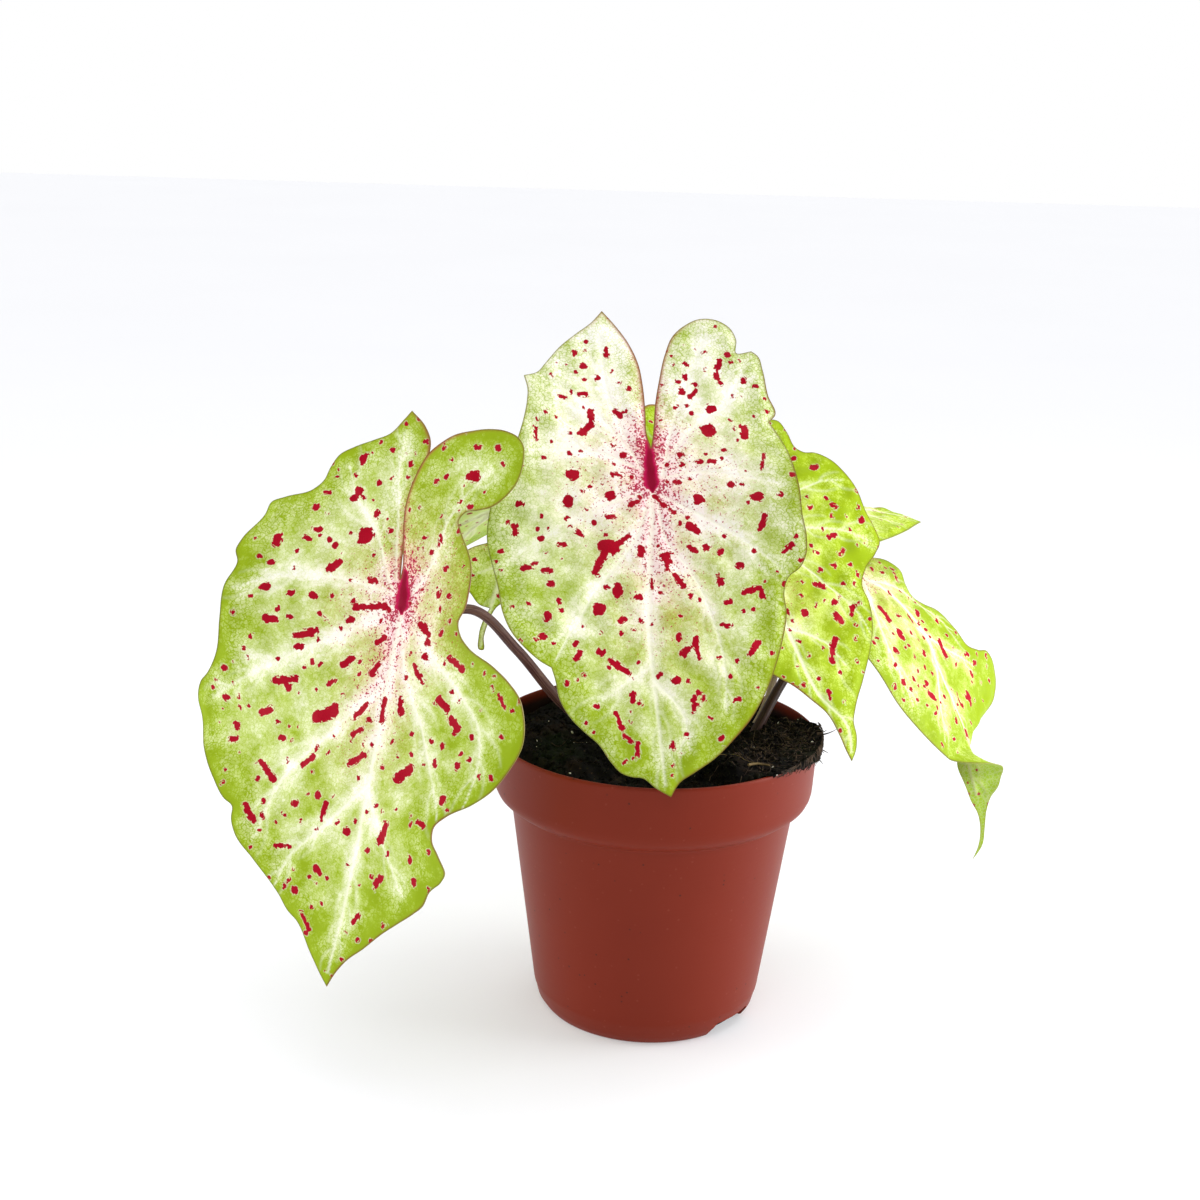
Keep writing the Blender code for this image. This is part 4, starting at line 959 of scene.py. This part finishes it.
# A geometry tree with a geometry input and output and these named inputs.
def newTree(name, sockets):
    tree = bpy.data.node_groups.new(name, "GeometryNodeTree")
    tree.interface.new_socket("Geometry", in_out="INPUT", socket_type="NodeSocketGeometry")
    for label, kind, value in sockets:
        socket = tree.interface.new_socket(label, in_out="INPUT", socket_type=kind)
        if value is not None:
            socket.default_value = value
    tree.interface.new_socket("Geometry", in_out="OUTPUT", socket_type="NodeSocketGeometry")
    n = Nodes(tree)
    source = tree.nodes.new("NodeGroupInput")
    return tree, n, source


def endTree(tree, n, geometry, material):
    placed = n.add("GeometryNodeRealizeInstances", None, {"Geometry": geometry})
    finished = n.add("GeometryNodeSetMaterial", None, {"Geometry": placed, "Material": material})
    end = tree.nodes.new("NodeGroupOutput")
    tree.links.new(finished, end.inputs[0])


# Puts the tree on the object with these inputs, and works it into a plain mesh.
def runTree(item, tree, values):
    step = item.modifiers.new(tree.name, "NODES")
    step.node_group = tree
    names = {socket.name: socket.identifier for socket in tree.interface.items_tree
             if socket.in_out == "INPUT"}
    for label, value in values.items():
        step[names[label]] = value
    return settle(item)


# A round bar along each curve, as thick as the curve's own radius, with its place kept for the material.
def stalkTree():
    tree, n, source = newTree("stalkTree", (("Sides", "NodeSocketInt", 16),
                                            ("Material", "NodeSocketMaterial", None)))
    length = n.add("GeometryNodeSplineParameter", None, None, "Length")
    curve = n.add("GeometryNodeStoreNamedAttribute", {"data_type": "FLOAT", "domain": "POINT"},
                  {"Geometry": source.outputs["Geometry"], "Name": "along", "Value": length})
    ring = n.add("GeometryNodeCurvePrimitiveCircle", None,
                 {"Resolution": source.outputs["Sides"], "Radius": 1.0})
    spot = n.add("GeometryNodeInputPosition")
    ring = n.add("GeometryNodeStoreNamedAttribute", {"data_type": "FLOAT_VECTOR", "domain": "POINT"},
                 {"Geometry": ring, "Name": "around", "Value": spot})
    thick = n.add("GeometryNodeInputRadius")
    bar = n.add("GeometryNodeCurveToMesh", None,
                {"Curve": curve, "Profile Curve": ring, "Scale": thick, "Fill Caps": True})
    bar = n.add("GeometryNodeSetShadeSmooth", None, {"Geometry": bar})
    endTree(tree, n, bar, source.outputs["Material"])
    return tree


# Rough crumbs scattered over a surface, thicker where its crumb attribute is high.
def crumbTree():
    tree, n, source = newTree("crumbTree", (
        ("Per square metre", "NodeSocketFloat", 40000.0), ("Smallest", "NodeSocketFloat", 0.0004),
        ("Largest", "NodeSocketFloat", 0.002), ("Seed", "NodeSocketInt", 1),
        ("Material", "NodeSocketMaterial", None)))
    weight = n.add("GeometryNodeInputNamedAttribute", {"data_type": "FLOAT"}, {"Name": "crumb"})
    density = n.add("ShaderNodeMath", {"operation": "MULTIPLY"},
                    {0: weight, 1: source.outputs["Per square metre"]})
    points = n.add("GeometryNodeDistributePointsOnFaces", {"distribute_method": "RANDOM"},
                   {"Mesh": source.outputs["Geometry"], "Density": density, "Seed": source.outputs["Seed"]})
    ball = n.add("GeometryNodeMeshIcoSphere", None, {"Radius": 1.0, "Subdivisions": 1})
    turnSeed = n.math("ADD", source.outputs["Seed"], 100.0)
    sizeSeed = n.math("ADD", source.outputs["Seed"], 200.0)
    turn = n.add("FunctionNodeRandomValue", {"data_type": "FLOAT_VECTOR"},
                 {0: (0.0, 0.0, 0.0), 1: (6.28, 6.28, 6.28), "Seed": turnSeed})
    size = n.add("FunctionNodeRandomValue", {"data_type": "FLOAT"}, {2: 0.0, 3: 1.0, "Seed": sizeSeed}, 1)
    size = n.add("ShaderNodeMath", {"operation": "POWER"}, {0: size, 1: 2.5})
    size = n.add("ShaderNodeMapRange", None, {"Value": size, "To Min": source.outputs["Smallest"],
                                             "To Max": source.outputs["Largest"]})
    shape = n.add("FunctionNodeRandomValue", {"data_type": "FLOAT_VECTOR"},
                  {0: (0.5, 0.5, 0.4), 1: (1.3, 1.3, 1.0), "Seed": source.outputs["Seed"]})
    scale = n.add("ShaderNodeVectorMath", {"operation": "SCALE"}, {0: shape, "Scale": size})
    crumbs = n.add("GeometryNodeInstanceOnPoints", None,
                   {"Points": points, "Instance": ball, "Rotation": turn, "Scale": scale})
    endTree(tree, n, crumbs, source.outputs["Material"])
    return tree


# One curve object with a straight-sided spline for each (points, radii), in millimetres.
def makeCurves(name, courses):
    data = bpy.data.curves.new(name, "CURVE")
    data.dimensions = "3D"
    for points, radii in courses:
        spline = data.splines.new("POLY")
        spline.points.add(len(points) - 1)
        for point, place, radius in zip(spline.points, points, radii):
            point.co = (place[0] * mm, place[1] * mm, place[2] * mm, 1.0)
            point.radius = radius * mm
    item = bpy.data.objects.new(name, data)
    bpy.context.scene.collection.objects.link(item)
    return item


stalkSetup = {
    "sides": 20,
    "step": 2.0,
    "foot": 1.5,        # how far above the tuber each stalk starts
    "rest": 0.4,        # the gap between a stalk's top and the sheet of its blade
    "swell": 0.25,      # how much the stalk widens into the soil
}
tuberShape = {"centre": (4.0, 4.0, 62.0), "radii": (27.0, 22.0, 14.0)}
stalks = {
    "left": {"radii": (2.3, 1.6), "path": ((-12, -1), (-20, 8, 99), (-37, -1, 120), (-51, -12, 141),
                                           (-66, -23, 158.5))},
    "middle": {"radii": (2.3, 1.6), "path": ((2, 6), (1, 6, 101), (-2, 2, 150))},
    "right": {"radii": (2.0, 1.5), "path": ((12, 12), (18, 14, 101), (23, 24, 140))},
    "far_right": {"radii": (2.1, 1.5), "path": ((20, 2), (36, 3, 104), (46, 14, 120), (58, 36, 130))},
    "back_right": {"radii": (1.4, 1.1), "path": ((17, 13), (39, 18, 105), (45, 25, 119), (47, 48, 150))},
    "small": {"radii": (1.4, 1.0), "path": ((-12, 10), (-20, 20, 101), (-42, 30, 140))},
    "back_left": {"radii": (2.0, 1.4), "path": ((-6, 14), (-9, 19, 101), (-24, 34, 145))},
}


def stalkCourse(name):
    leaf = leaves[name]
    root, *way = stalks[name]["path"]
    centre = tuberShape["centre"]
    radii = tuberShape["radii"]
    u = (root[0] - centre[0]) / radii[0]
    v = (root[1] - centre[1]) / radii[1]
    foot = centre[2] + radii[2] * math.sqrt(1.0 - u * u - v * v) + stalkSetup["foot"]
    up = bladeAxes(leaf, np.zeros(1))[1][0]
    end = np.array(leaf["attach"]) - up * (0.5 * bladeSetup["thickness"] + stalkSetup["rest"])
    route = [(*root, foot), (*root, foot + 4.0), *way, tuple(end - 12.0 * up), tuple(end)]
    course = smoothRun(route, stalkSetup["step"])
    low, high = stalks[name]["radii"]
    share = np.linspace(0.0, 1.0, len(course))
    swell = stalkSetup["swell"] * np.exp(-((course[:, 2] - 99.0) / 7.0) ** 2)
    return course, low + (high - low) * share + swell


def makeStalks(tree, plum, dark, pale):
    finishes = {"far_right": dark, "back_right": pale, "small": pale}
    for name in stalks:
        curve = makeCurves("stalk_" + name, [stalkCourse(name)])
        finish = finishes.get(name, plum)
        stalk = runTree(curve, tree, {"Sides": stalkSetup["sides"], "Material": finish})
        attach(stalk, "root")
        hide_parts("petiole_" + name)
    print("stalks made:", len(stalks))


def stalkMaterial(name, dark, light, streak):
    material, n, shader = newMaterial(name, 0.45, 0.22)
    around = n.attribute("around", "Vector")
    along = n.attribute("along")
    place = n.add("ShaderNodeCombineXYZ", None, {"X": 0.0, "Y": 0.0, "Z": n.math("MULTIPLY", along, 90.0)})
    place = n.add("ShaderNodeVectorMath", {"operation": "ADD"}, {0: around, 1: place})
    streaks = n.noise(n.stretch(place, (3.2, 3.2, 0.35)), 2.0, 4.0)
    blot = n.noise(place, 0.9, 3.0)
    colour = n.mix(n.ramp(streaks, 0.35, 0.68), dark, light)
    colour = n.mix(n.ramp(blot, 0.52, 0.72, 0.0, 0.6), colour, streak)
    return finishMaterial(material, n, shader, colour, streaks, 0.0003, 0.4)


# The pot.

potSetup = {
    "height": 108.0,
    "rimRadius": 60.0,
    "bandHeight": 26.0,
    "bodyRadius": 52.6,
    "chamferRadius": 42.4,
    "chamferHeight": 8.2,
    "baseRadius": 39.2,
    "wall": 1.2,
    "floor": 1.6,
    "segments": 192,
    "notchAzimuths": (-39.0, 141.0),
    "notchWidth": 22.0,
    "notchHeight": 5.4,
    "notchReach": 9.0,
    "drainRadius": 3.5,
    "drainCircle": 24.0,
    "drainCount": 4,
}


# Points and faces of a solid turned about Z: its profile starts and ends on the axis, bottom first.
def lathe(profile, segments, shape=None):
    rings = profile[1:-1]
    points = [(0.0, 0.0, profile[0][1])]
    for number, (radius, height) in enumerate(rings):
        for k in range(segments):
            angle = 2.0 * math.pi * k / segments
            r, z = shape(number, angle, radius, height) if shape else (radius, height)
            points.append((r * math.cos(angle), r * math.sin(angle), z))
    points.append((0.0, 0.0, profile[-1][1]))
    last = len(points) - 1
    faces = []
    for k in range(segments):
        after = (k + 1) % segments
        faces.append((0, 1 + after, 1 + k))
        for ring in range(len(rings) - 1):
            low = 1 + ring * segments
            high = low + segments
            faces.append((low + k, low + after, high + after, high + k))
        top = 1 + (len(rings) - 1) * segments
        faces.append((top + k, top + after, last))
    return np.array(points), faces


# The pot's section: outer face with its rounded band and lip, then the inner face down to the floor.
def potProfile():
    p = potSetup
    bandLow = p["height"] - p["bandHeight"]
    skirt = p["rimRadius"] - 1.0
    wall = p["wall"]
    base = p["baseRadius"]
    top = p["height"]
    outer = [
        (0.0, 0.0), (base - 1.6, 0.0), (base - 0.9, 0.1), (base - 0.4, 0.35), (base, 0.8), (base + 1.9, 3.6),
        (p["chamferRadius"] - 0.35, p["chamferHeight"] - 0.8), (p["chamferRadius"], p["chamferHeight"]),
        (p["chamferRadius"] + 0.25, p["chamferHeight"] + 1.2),
        (p["bodyRadius"] - 0.2, bandLow - 1.2), (p["bodyRadius"] + 0.05, bandLow - 0.4),
        (p["bodyRadius"] + 0.7, bandLow + 0.15), (p["bodyRadius"] + 2.0, bandLow + 0.75),
        (skirt - 2.6, bandLow + 2.1), (skirt - 1.3, bandLow + 3.3), (skirt - 0.5, bandLow + 5.0),
        (skirt - 0.15, bandLow + 6.6), (skirt, bandLow + 8.6),
        (p["rimRadius"] - 0.15, top - 2.0), (p["rimRadius"], top - 1.4), (p["rimRadius"], top - 0.6),
        (p["rimRadius"] - 0.2, top - 0.15), (p["rimRadius"] - 0.5, top),
    ]
    inner = [
        (p["rimRadius"] - wall + 0.3, top), (p["rimRadius"] - wall, top - 0.4),
        (p["rimRadius"] - wall, top - 1.6),
        (skirt - wall, bandLow + 8.0), (skirt - 0.5 - wall, bandLow + 5.6), (skirt - 2.2 - wall, bandLow + 3.6),
        (p["bodyRadius"] - wall, bandLow + 1.6), (p["chamferRadius"] - wall, p["chamferHeight"] + 0.4),
        (base + 1.6 - wall, 4.4), (base - wall, p["floor"]), (0.0, p["floor"]),
    ]
    return outer + inner


def makeCutter(name, points, faces):
    cutter = makeMesh(name, points, faces, [])
    cutter.hide_render = True
    return cutter


# A drain notch in the corner of wall and floor, with one sloping end.
def notchCutter(azimuth):
    p = potSetup
    half = 0.5 * p["notchWidth"]
    near = p["baseRadius"] - p["notchReach"]
    far = p["chamferRadius"] + 4.0
    high = p["notchHeight"]
    profile = [(-half, -1.0), (half, -1.0), (half - 0.4, high - 0.7), (half - 2.0, high),
               (2.6 - half, high), (0.7 - half, high - 2.0)]
    turn = math.radians(azimuth)
    points = [(reach * math.cos(turn) - side * math.sin(turn),
               reach * math.sin(turn) + side * math.cos(turn), z)
              for reach in (near, far) for side, z in profile]
    count = len(profile)
    faces = [tuple(range(count))[::-1], tuple(range(count, 2 * count))]
    faces += [(k, (k + 1) % count, (k + 1) % count + count, k + count) for k in range(count)]
    return makeCutter("notch", points, faces)


def drainCutter(number):
    p = potSetup
    angle = math.radians(6.0) + 2.0 * math.pi * number / p["drainCount"]
    top = p["floor"] + 1.0
    points, faces = lathe([(0.0, -1.0), (p["drainRadius"], -1.0), (p["drainRadius"], top), (0.0, top)], 24)
    centre = p["drainCircle"] * np.array([math.cos(angle), math.sin(angle), 0.0])
    return makeCutter("drain", points + centre, faces)


def makePot(material):
    points, faces = lathe(potProfile(), potSetup["segments"])
    pot = makeMesh("nurseryPot", points, faces, [material])
    cutters = [notchCutter(azimuth) for azimuth in potSetup["notchAzimuths"]]
    cutters += [drainCutter(number) for number in range(potSetup["drainCount"])]
    for cutter in cutters:
        step = pot.modifiers.new("cut", "BOOLEAN")
        step.operation = "DIFFERENCE"
        step.solver = "EXACT"
        step.object = cutter
    settle(pot)
    for cutter in cutters:
        bpy.data.objects.remove(cutter)
    pot.data.shade_smooth()
    pot.data.set_sharp_from_angle(angle=math.radians(38))
    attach(pot, "root")
    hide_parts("pot")
    print("pot made with", len(pot.data.polygons), "faces")


def potMaterial():
    material, n, shader = newMaterial("terracottaPlastic", 0.45, 0.14)
    place = n.object()
    cloud = n.noise(place, 24.0, 3.0)
    speck = n.cells(place, 520.0)
    pick = n.add("ShaderNodeSeparateColor", None, {"Color": n.cells(place, 520.0, out="Color")})
    colour = n.mix(cloud, tone(116, 34, 15), tone(124, 40, 20))
    dust = n.math("MULTIPLY", n.ramp(speck, 0.30, 0.12), n.ramp(pick, 0.90, 0.93))
    colour = n.mix(n.math("MULTIPLY", dust, 0.08), colour, tone(190, 120, 104))
    dirt = n.math("MULTIPLY", n.ramp(speck, 0.26, 0.14), n.ramp(pick, 0.05, 0.03))
    colour = n.mix(n.math("MULTIPLY", dirt, 0.8), colour, tone(58, 28, 22))
    apart = n.add("ShaderNodeSeparateXYZ", None, {"Vector": place}, "Z")
    flat = n.add("ShaderNodeVectorMath", {"operation": "MULTIPLY"}, {0: place, 1: (1.0, 1.0, 0.0)})
    reach = n.add("ShaderNodeVectorMath", {"operation": "LENGTH"}, {0: flat}, "Value")
    # Painted shade: inside the pot, the wall above the soil is painted near black. It is blotchy and deepest
    # just above the soil.
    inside = n.math("MULTIPLY", n.ramp(reach, 0.0589, 0.0586), n.ramp(apart, 0.091, 0.093))
    innerShadeBlotch = n.math("ADD", n.noise(place, 90.0, 3.0), n.ramp(apart, 0.107, 0.101, 0.0, 0.35))
    innerWallShade = n.math("MULTIPLY", inside, n.ramp(innerShadeBlotch, 0.3, 0.6, 0.75, 0.97))
    colour = n.mix(innerWallShade, colour, tone(20, 13, 10))
    drawn = n.noise(n.stretch(place, (60.0, 60.0, 900.0)), 1.0, 2.0)
    relief = n.math("ADD", n.math("MULTIPLY", drawn, 0.4), cloud)
    return finishMaterial(material, n, shader, colour, relief, 0.0003, 0.22)


# The soil.

soilSetup = {
    "level": 101.5,
    "gap": 0.3,
    "clumpAzimuth": -20.0,
    "clumpHalfWidth": 42.0,
    "clumpTop": 107.6,
    "clumpReach": 61.4,
    "clumpHang": 4.0,
    "segments": 160,
    "rough": 0.9,
    # each ramp is where it starts and over how much it runs
    "hangHeld": (0.42, 0.2),        # shares of the clump
    "hangRun": (-28.0, 34.0),       # degrees from its middle
    "climb": 0.16,                  # the share over which it climbs to the rim
    "spread": (0.23, 0.11),         # and over which it spreads over the rim
    "rise": (14.0, 30.0),           # millimetres from the pot's axis
    "calm": (50.0, 6.0),
}


# Degrees round the pot from the middle of the root-bound clump.
def clumpAway(angle):
    return (math.degrees(angle) - soilSetup["clumpAzimuth"] + 180.0) % 360.0 - 180.0


# One in the middle of the clump and nought at its ends.
def clumpShare(angle):
    return 1.0 - abs(clumpAway(angle)) / soilSetup["clumpHalfWidth"]


# How far the clump hangs down outside the rim: further towards the right side.
def clumpHang(angle):
    share, shareRun = soilSetup["hangHeld"]
    turn, turnRun = soilSetup["hangRun"]
    held = ease((clumpShare(angle) - share) / shareRun)
    return float(soilSetup["clumpHang"] * held * ease((clumpAway(angle) - turn) / turnRun))


def soilBump(angle, radius):
    return (0.9 * math.sin(3.0 * angle + 0.11 * radius) + 0.7 * math.sin(5.0 * angle - 0.17 * radius + 1.0)
            + 0.5 * math.cos(0.29 * radius + 7.0 * angle))


def makeSoil(material):
    p = potSetup
    gap = p["wall"] + soilSetup["gap"]
    level = soilSetup["level"]
    overRim = p["height"] + 0.25
    bandLow = p["height"] - p["bandHeight"]
    skirt = p["rimRadius"] - 1.0
    inner = p["rimRadius"] - gap
    below = [(0.0, p["floor"] + 0.3), (p["baseRadius"] - gap, p["floor"] + 0.3),
             (p["baseRadius"] + 1.6 - gap, 4.4),
             (p["chamferRadius"] - gap, p["chamferHeight"] + 0.4), (p["bodyRadius"] - gap, bandLow + 1.6),
             (skirt - 2.2 - gap, bandLow + 3.6), (skirt - 0.5 - gap, bandLow + 5.6),
             (skirt - gap, bandLow + 8.0)]
    lip = [(inner - 0.9, level - drop) for drop in (2.0, 1.8, 1.6, 1.4)] + [(inner - 1.0, level - 0.7)]
    surface = [(r, level + 1.3 * (1.0 - r / 58.0)) for r in np.arange(inner - 1.6, 1.0, -1.1)]
    first = len(below) - 1
    outside = p["rimRadius"] + 0.6
    reach = soilSetup["clumpReach"]
    spreadFrom, spreadRun = soilSetup["spread"]
    riseFrom, riseRun = soilSetup["rise"]
    calmFrom, calmRun = soilSetup["calm"]

    def shape(number, angle, radius, height):
        share = clumpShare(angle)
        climb = float(ease(share / soilSetup["climb"]))
        spread = float(ease((share - spreadFrom) / spreadRun))
        low = overRim - clumpHang(angle)
        around = [(outside, overRim), (outside + 0.1, low + 0.15), (reach - 0.1, low + 0.3),
                  (reach, overRim + 0.4)]
        if number < first:
            return radius, height
        if number == first:
            return radius, height + climb * (overRim - 0.3 - height)
        if number <= first + len(around):
            away, top = around[number - first - 1]
            return radius + spread * (away - radius), height + climb * (top - height)
        rise = climb * float(ease((radius - riseFrom) / riseRun)) * (soilSetup["clumpTop"] - level)
        calm = 1.0 - 0.8 * climb * float(ease((radius - calmFrom) / calmRun))
        return radius, height + rise + calm * soilBump(angle, radius)

    points, faces = lathe(below + lip + surface + [(0.0, level + 1.3)], soilSetup["segments"], shape)
    start = 1 + (first + 5) * soilSetup["segments"]
    top = points[start:-1]
    rough = soilSetup["rough"] * (wander(top[:, :2], 3, 6.0) + 0.7 * wander(top[:, :2], 4, 2.6))
    far = np.hypot(top[:, 0], top[:, 1])
    onClump = np.array([ease(3.0 * clumpShare(a)) for a in np.arctan2(top[:, 1], top[:, 0])])
    onClump = onClump * ease((far - 40.0) / 12.0)
    points[start:-1, 2] += rough * ease((inner - far) / 3.0) * (1.0 - 0.5 * onClump)
    crumb = np.zeros(len(points))
    crumb[start - 3 * soilSetup["segments"]:] = 1.0
    soil = makeMesh("peatSoil", points, faces, [material], None, {"crumb": crumb})
    return soil


def finishSoil(soil):
    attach(soil, "root")
    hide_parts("soil")


def scatterCrumbs(name, soil, tree, material, values):
    layer = makeMesh(name, np.zeros((0, 3)), [], [])
    layer.data = soil.data.copy()
    crumbs = runTree(layer, tree, dict(values, Material=material))
    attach(crumbs, "root")
    print(name, "has", len(crumbs.data.polygons), "faces")


def soilHeight(soilPoints, x, y):
    near = np.argmin((soilPoints[:, 0] - x) ** 2 + (soilPoints[:, 1] - y) ** 2)
    return soilPoints[near, 2]


rootSetup = {
    "mat": 210,             # fibres that lie on the clump
    "loose": 14,            # and elsewhere on the soil
    "hanging": 110,         # and that hang over the rim
    "hangFrom": (-46.0, 8.0),
    "soilEdge": 60.5,       # where a lying fibre stops
    "matTurn": 18.0,
    "matRadii": (38.0, 60.0),
    "looseRadii": (8.0, 54.0),
    "spikes": (
        # azimuth, height above the rim, length, rise
        (-6.0, 1.8, 7.0, 2.6), (-3.0, 1.2, 3.5, 1.4), (1.0, 0.6, 3.0, 0.2), (-9.0, -2.5, 4.0, -1.0),
        (-5.0, -4.0, 4.6, -1.6), (-12.0, -5.0, 3.0, -2.0), (4.0, 1.0, 2.6, 0.8), (-1.0, -5.5, 3.4, -1.8),
    ),
    # both courses were read in the photograph and turned into millimetres by another script
    "brownRoot": ((32, -38), (34, -36.5), (37, -36), (39.5, -37)),
    "thread": ((19, -33), (22, -31), (25.5, -30.5), (29, -32), (31, -35), (34, -36.5)),
}


# A fibre that wanders over the soil from a place, or None where it is too short.
def lyingFibre(pick, top, place, way, length, thick):
    points = []
    for step in range(length):
        if math.hypot(*place) > rootSetup["soilEdge"]:
            break
        height = soilHeight(top, *place) + 0.3 + 0.4 * math.sin(0.9 * step + 7.0 * thick)
        points.append((place[0], place[1], height))
        way += pick.normal(0.0, 0.3)
        place = place + 1.3 * np.array([math.cos(way), math.sin(way)])
    return (points, thick * np.linspace(1.0, 0.35, len(points))) if len(points) > 3 else None


# Fine roots and fibres: a mat on the clump, a fringe over the rim, spikes at its side and two paler roots.
def makeRoots(soil, tree, brown, pale):
    pick = np.random.default_rng(5)
    top = np.array([v.co for v in soil.data.vertices]) / mm
    top = top[top[:, 2] > 96.0]
    courses = []
    for number in range(rootSetup["mat"] + rootSetup["loose"]):
        if number < rootSetup["mat"]:
            angle = math.radians(soilSetup["clumpAzimuth"] + pick.normal(0.0, rootSetup["matTurn"]))
            radius = pick.uniform(*rootSetup["matRadii"])
            way = angle + math.pi / 2.0 + pick.normal(0.0, 0.6)
        else:
            angle = pick.uniform(0.0, 2.0 * math.pi)
            radius = pick.uniform(*rootSetup["looseRadii"])
            way = pick.uniform(0.0, 2.0 * math.pi)
        place = radius * np.array([math.cos(angle), math.sin(angle)])
        fibre = lyingFibre(pick, top, place, way, int(pick.uniform(6, 14)), pick.uniform(0.09, 0.26))
        if fibre:
            courses.append(fibre)
    rim = potSetup["height"]
    for _ in range(rootSetup["hanging"]):
        angle = math.radians(pick.uniform(*rootSetup["hangFrom"]))
        drop = clumpHang(angle) + pick.uniform(0.2, 1.6)
        drift = pick.normal(0.0, 0.05)
        points = []
        for u in np.linspace(0.0, 1.0, 7):
            radius = 60.6 + 1.3 * math.sin(math.pi * (0.25 + 0.6 * u)) + 0.2 * math.sin(9.0 * u + 40.0 * drift)
            turn = angle + drift * u
            points.append((radius * math.cos(turn), radius * math.sin(turn), rim + 1.6 - (1.0 + drop) * u))
        courses.append((points, pick.uniform(0.10, 0.26) * np.linspace(1.0, 0.4, len(points))))
    for azimuth, height, length, rise in rootSetup["spikes"]:
        angle = math.radians(azimuth)
        out = np.array([math.cos(angle), math.sin(angle), 0.0])
        start = 59.5 * out + np.array([0.0, 0.0, rim + height])
        points = [start + u * length * out + np.array([0.0, 0.0, rise * u * u])
                  for u in np.linspace(0.0, 1.0, 6)]
        courses.append((points, 0.45 * np.linspace(1.0, 0.15, 6)))
    paler = []
    for course, thick in ((rootSetup["brownRoot"], 0.6), (rootSetup["thread"], 0.16)):
        run = smoothRun(course, 1.0)
        heights = [soilHeight(top, x, y) for x, y in run]
        points = [(x, y, 0.3 * own + 0.7 * np.mean(heights) + 1.3) for (x, y), own in zip(run, heights)]
        paler.append((points, thick * np.linspace(1.0, 0.6, len(points))))
    for name, fibres, material in (("fineRoots", courses, brown), ("paleRoots", paler, pale)):
        roots = runTree(makeCurves(name, fibres), tree, {"Sides": 5, "Material": material})
        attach(roots, "root")
        print(name, "made:", len(fibres))


def soilMaterial(name, dark, light, moss):
    material, n, shader = newMaterial(name, 0.95, 0.1)
    place = n.object()
    clod = n.noise(place, 180.0, 4.0)
    fleck = n.noise(place, 900.0, 2.0)
    colour = n.mix(n.ramp(clod, 0.45, 0.75), dark, light)
    colour = n.mix(n.ramp(fleck, 0.68, 0.76, 0.0, 0.4), colour, tone(92, 70, 50))
    colour = n.mix(n.ramp(n.noise(place, 40.0, 2.0), 0.54, 0.70, 0.0, 0.6), colour, moss)
    return finishMaterial(material, n, shader, colour, clod, 0.001, 0.7)


def plainGrain(name, first, second, scale, roughness):
    material, n, shader = newMaterial(name, roughness, 0.3)
    grain = n.noise(n.object(), scale, 3.0)
    colour = n.mix(n.ramp(grain, 0.3, 0.7), first, second)
    return finishMaterial(material, n, shader, colour, grain, 0.0004, 0.5)


# Pale paper that glows a little, so that the shadow on it stays light.
def floorMaterial():
    material, n, shader = newMaterial("paleFloor", 0.9, 0.1)
    grain = n.noise(n.object(), 3.0, 2.0)
    shader.inputs["Emission Color"].default_value = (1.0, 1.0, 1.0, 1.0)
    shader.inputs["Emission Strength"].default_value = 0.305
    return finishMaterial(material, n, shader, n.mix(grain, tone(209, 210, 214), tone(213, 214, 218)))


def makeFloor():
    floor = makeMesh("floor", [(-4000, -4000, 0), (4000, -4000, 0), (4000, 4000, 0), (-4000, 4000, 0)],
                     [(0, 1, 2, 3)], [floorMaterial()])
    floor.location.z = -0.0003


# Putting it together.

makeCamera()
makeLights()
makeFloor()
print("camera, light and floor made")

bladeMaterials = [leafTopMaterial(), leafUnderMaterial(), leafEdgeMaterial()]
for leafName, leafSetup in leaves.items():
    makeBlade(leafName, leafSetup, bladeMaterials)

barTree = stalkTree()
makeStalks(barTree,
           stalkMaterial("plumStalk", tone(70, 38, 42), tone(122, 86, 82), tone(132, 100, 88)),
           stalkMaterial("darkStalk", tone(34, 17, 15), tone(66, 38, 32), tone(50, 24, 20)),
           stalkMaterial("paleStalk", tone(150, 118, 112), tone(200, 178, 166), tone(176, 160, 140)))

makePot(potMaterial())

peat = soilMaterial("peat", tone(9, 7, 6), tone(34, 25, 19), tone(16, 26, 8))
soilBody = makeSoil(peat)
grains = crumbTree()
scatterCrumbs("peatCrumbs", soilBody, grains, peat,
              {"Per square metre": 230000.0, "Smallest": 0.0004, "Largest": 0.0015, "Seed": 2})
perlite = plainGrain("perlite", tone(236, 232, 220), tone(200, 194, 180), 900.0, 0.8)
scatterCrumbs("perlite", soilBody, grains, perlite,
              {"Per square metre": 4600.0, "Smallest": 0.0003, "Largest": 0.0009, "Seed": 9})
makeRoots(soilBody, barTree, plainGrain("rootFibre", tone(74, 56, 38), tone(28, 19, 13), 260.0, 0.8),
          plainGrain("paleRoot", tone(128, 106, 66), tone(88, 70, 42), 300.0, 0.7))
finishSoil(soilBody)
print("soil made")

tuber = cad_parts["tuber"]
tuber.data.materials.clear()
tuber.data.materials.append(plainGrain("tuberSkin", tone(96, 66, 44), tone(60, 40, 28), 120.0, 0.9))
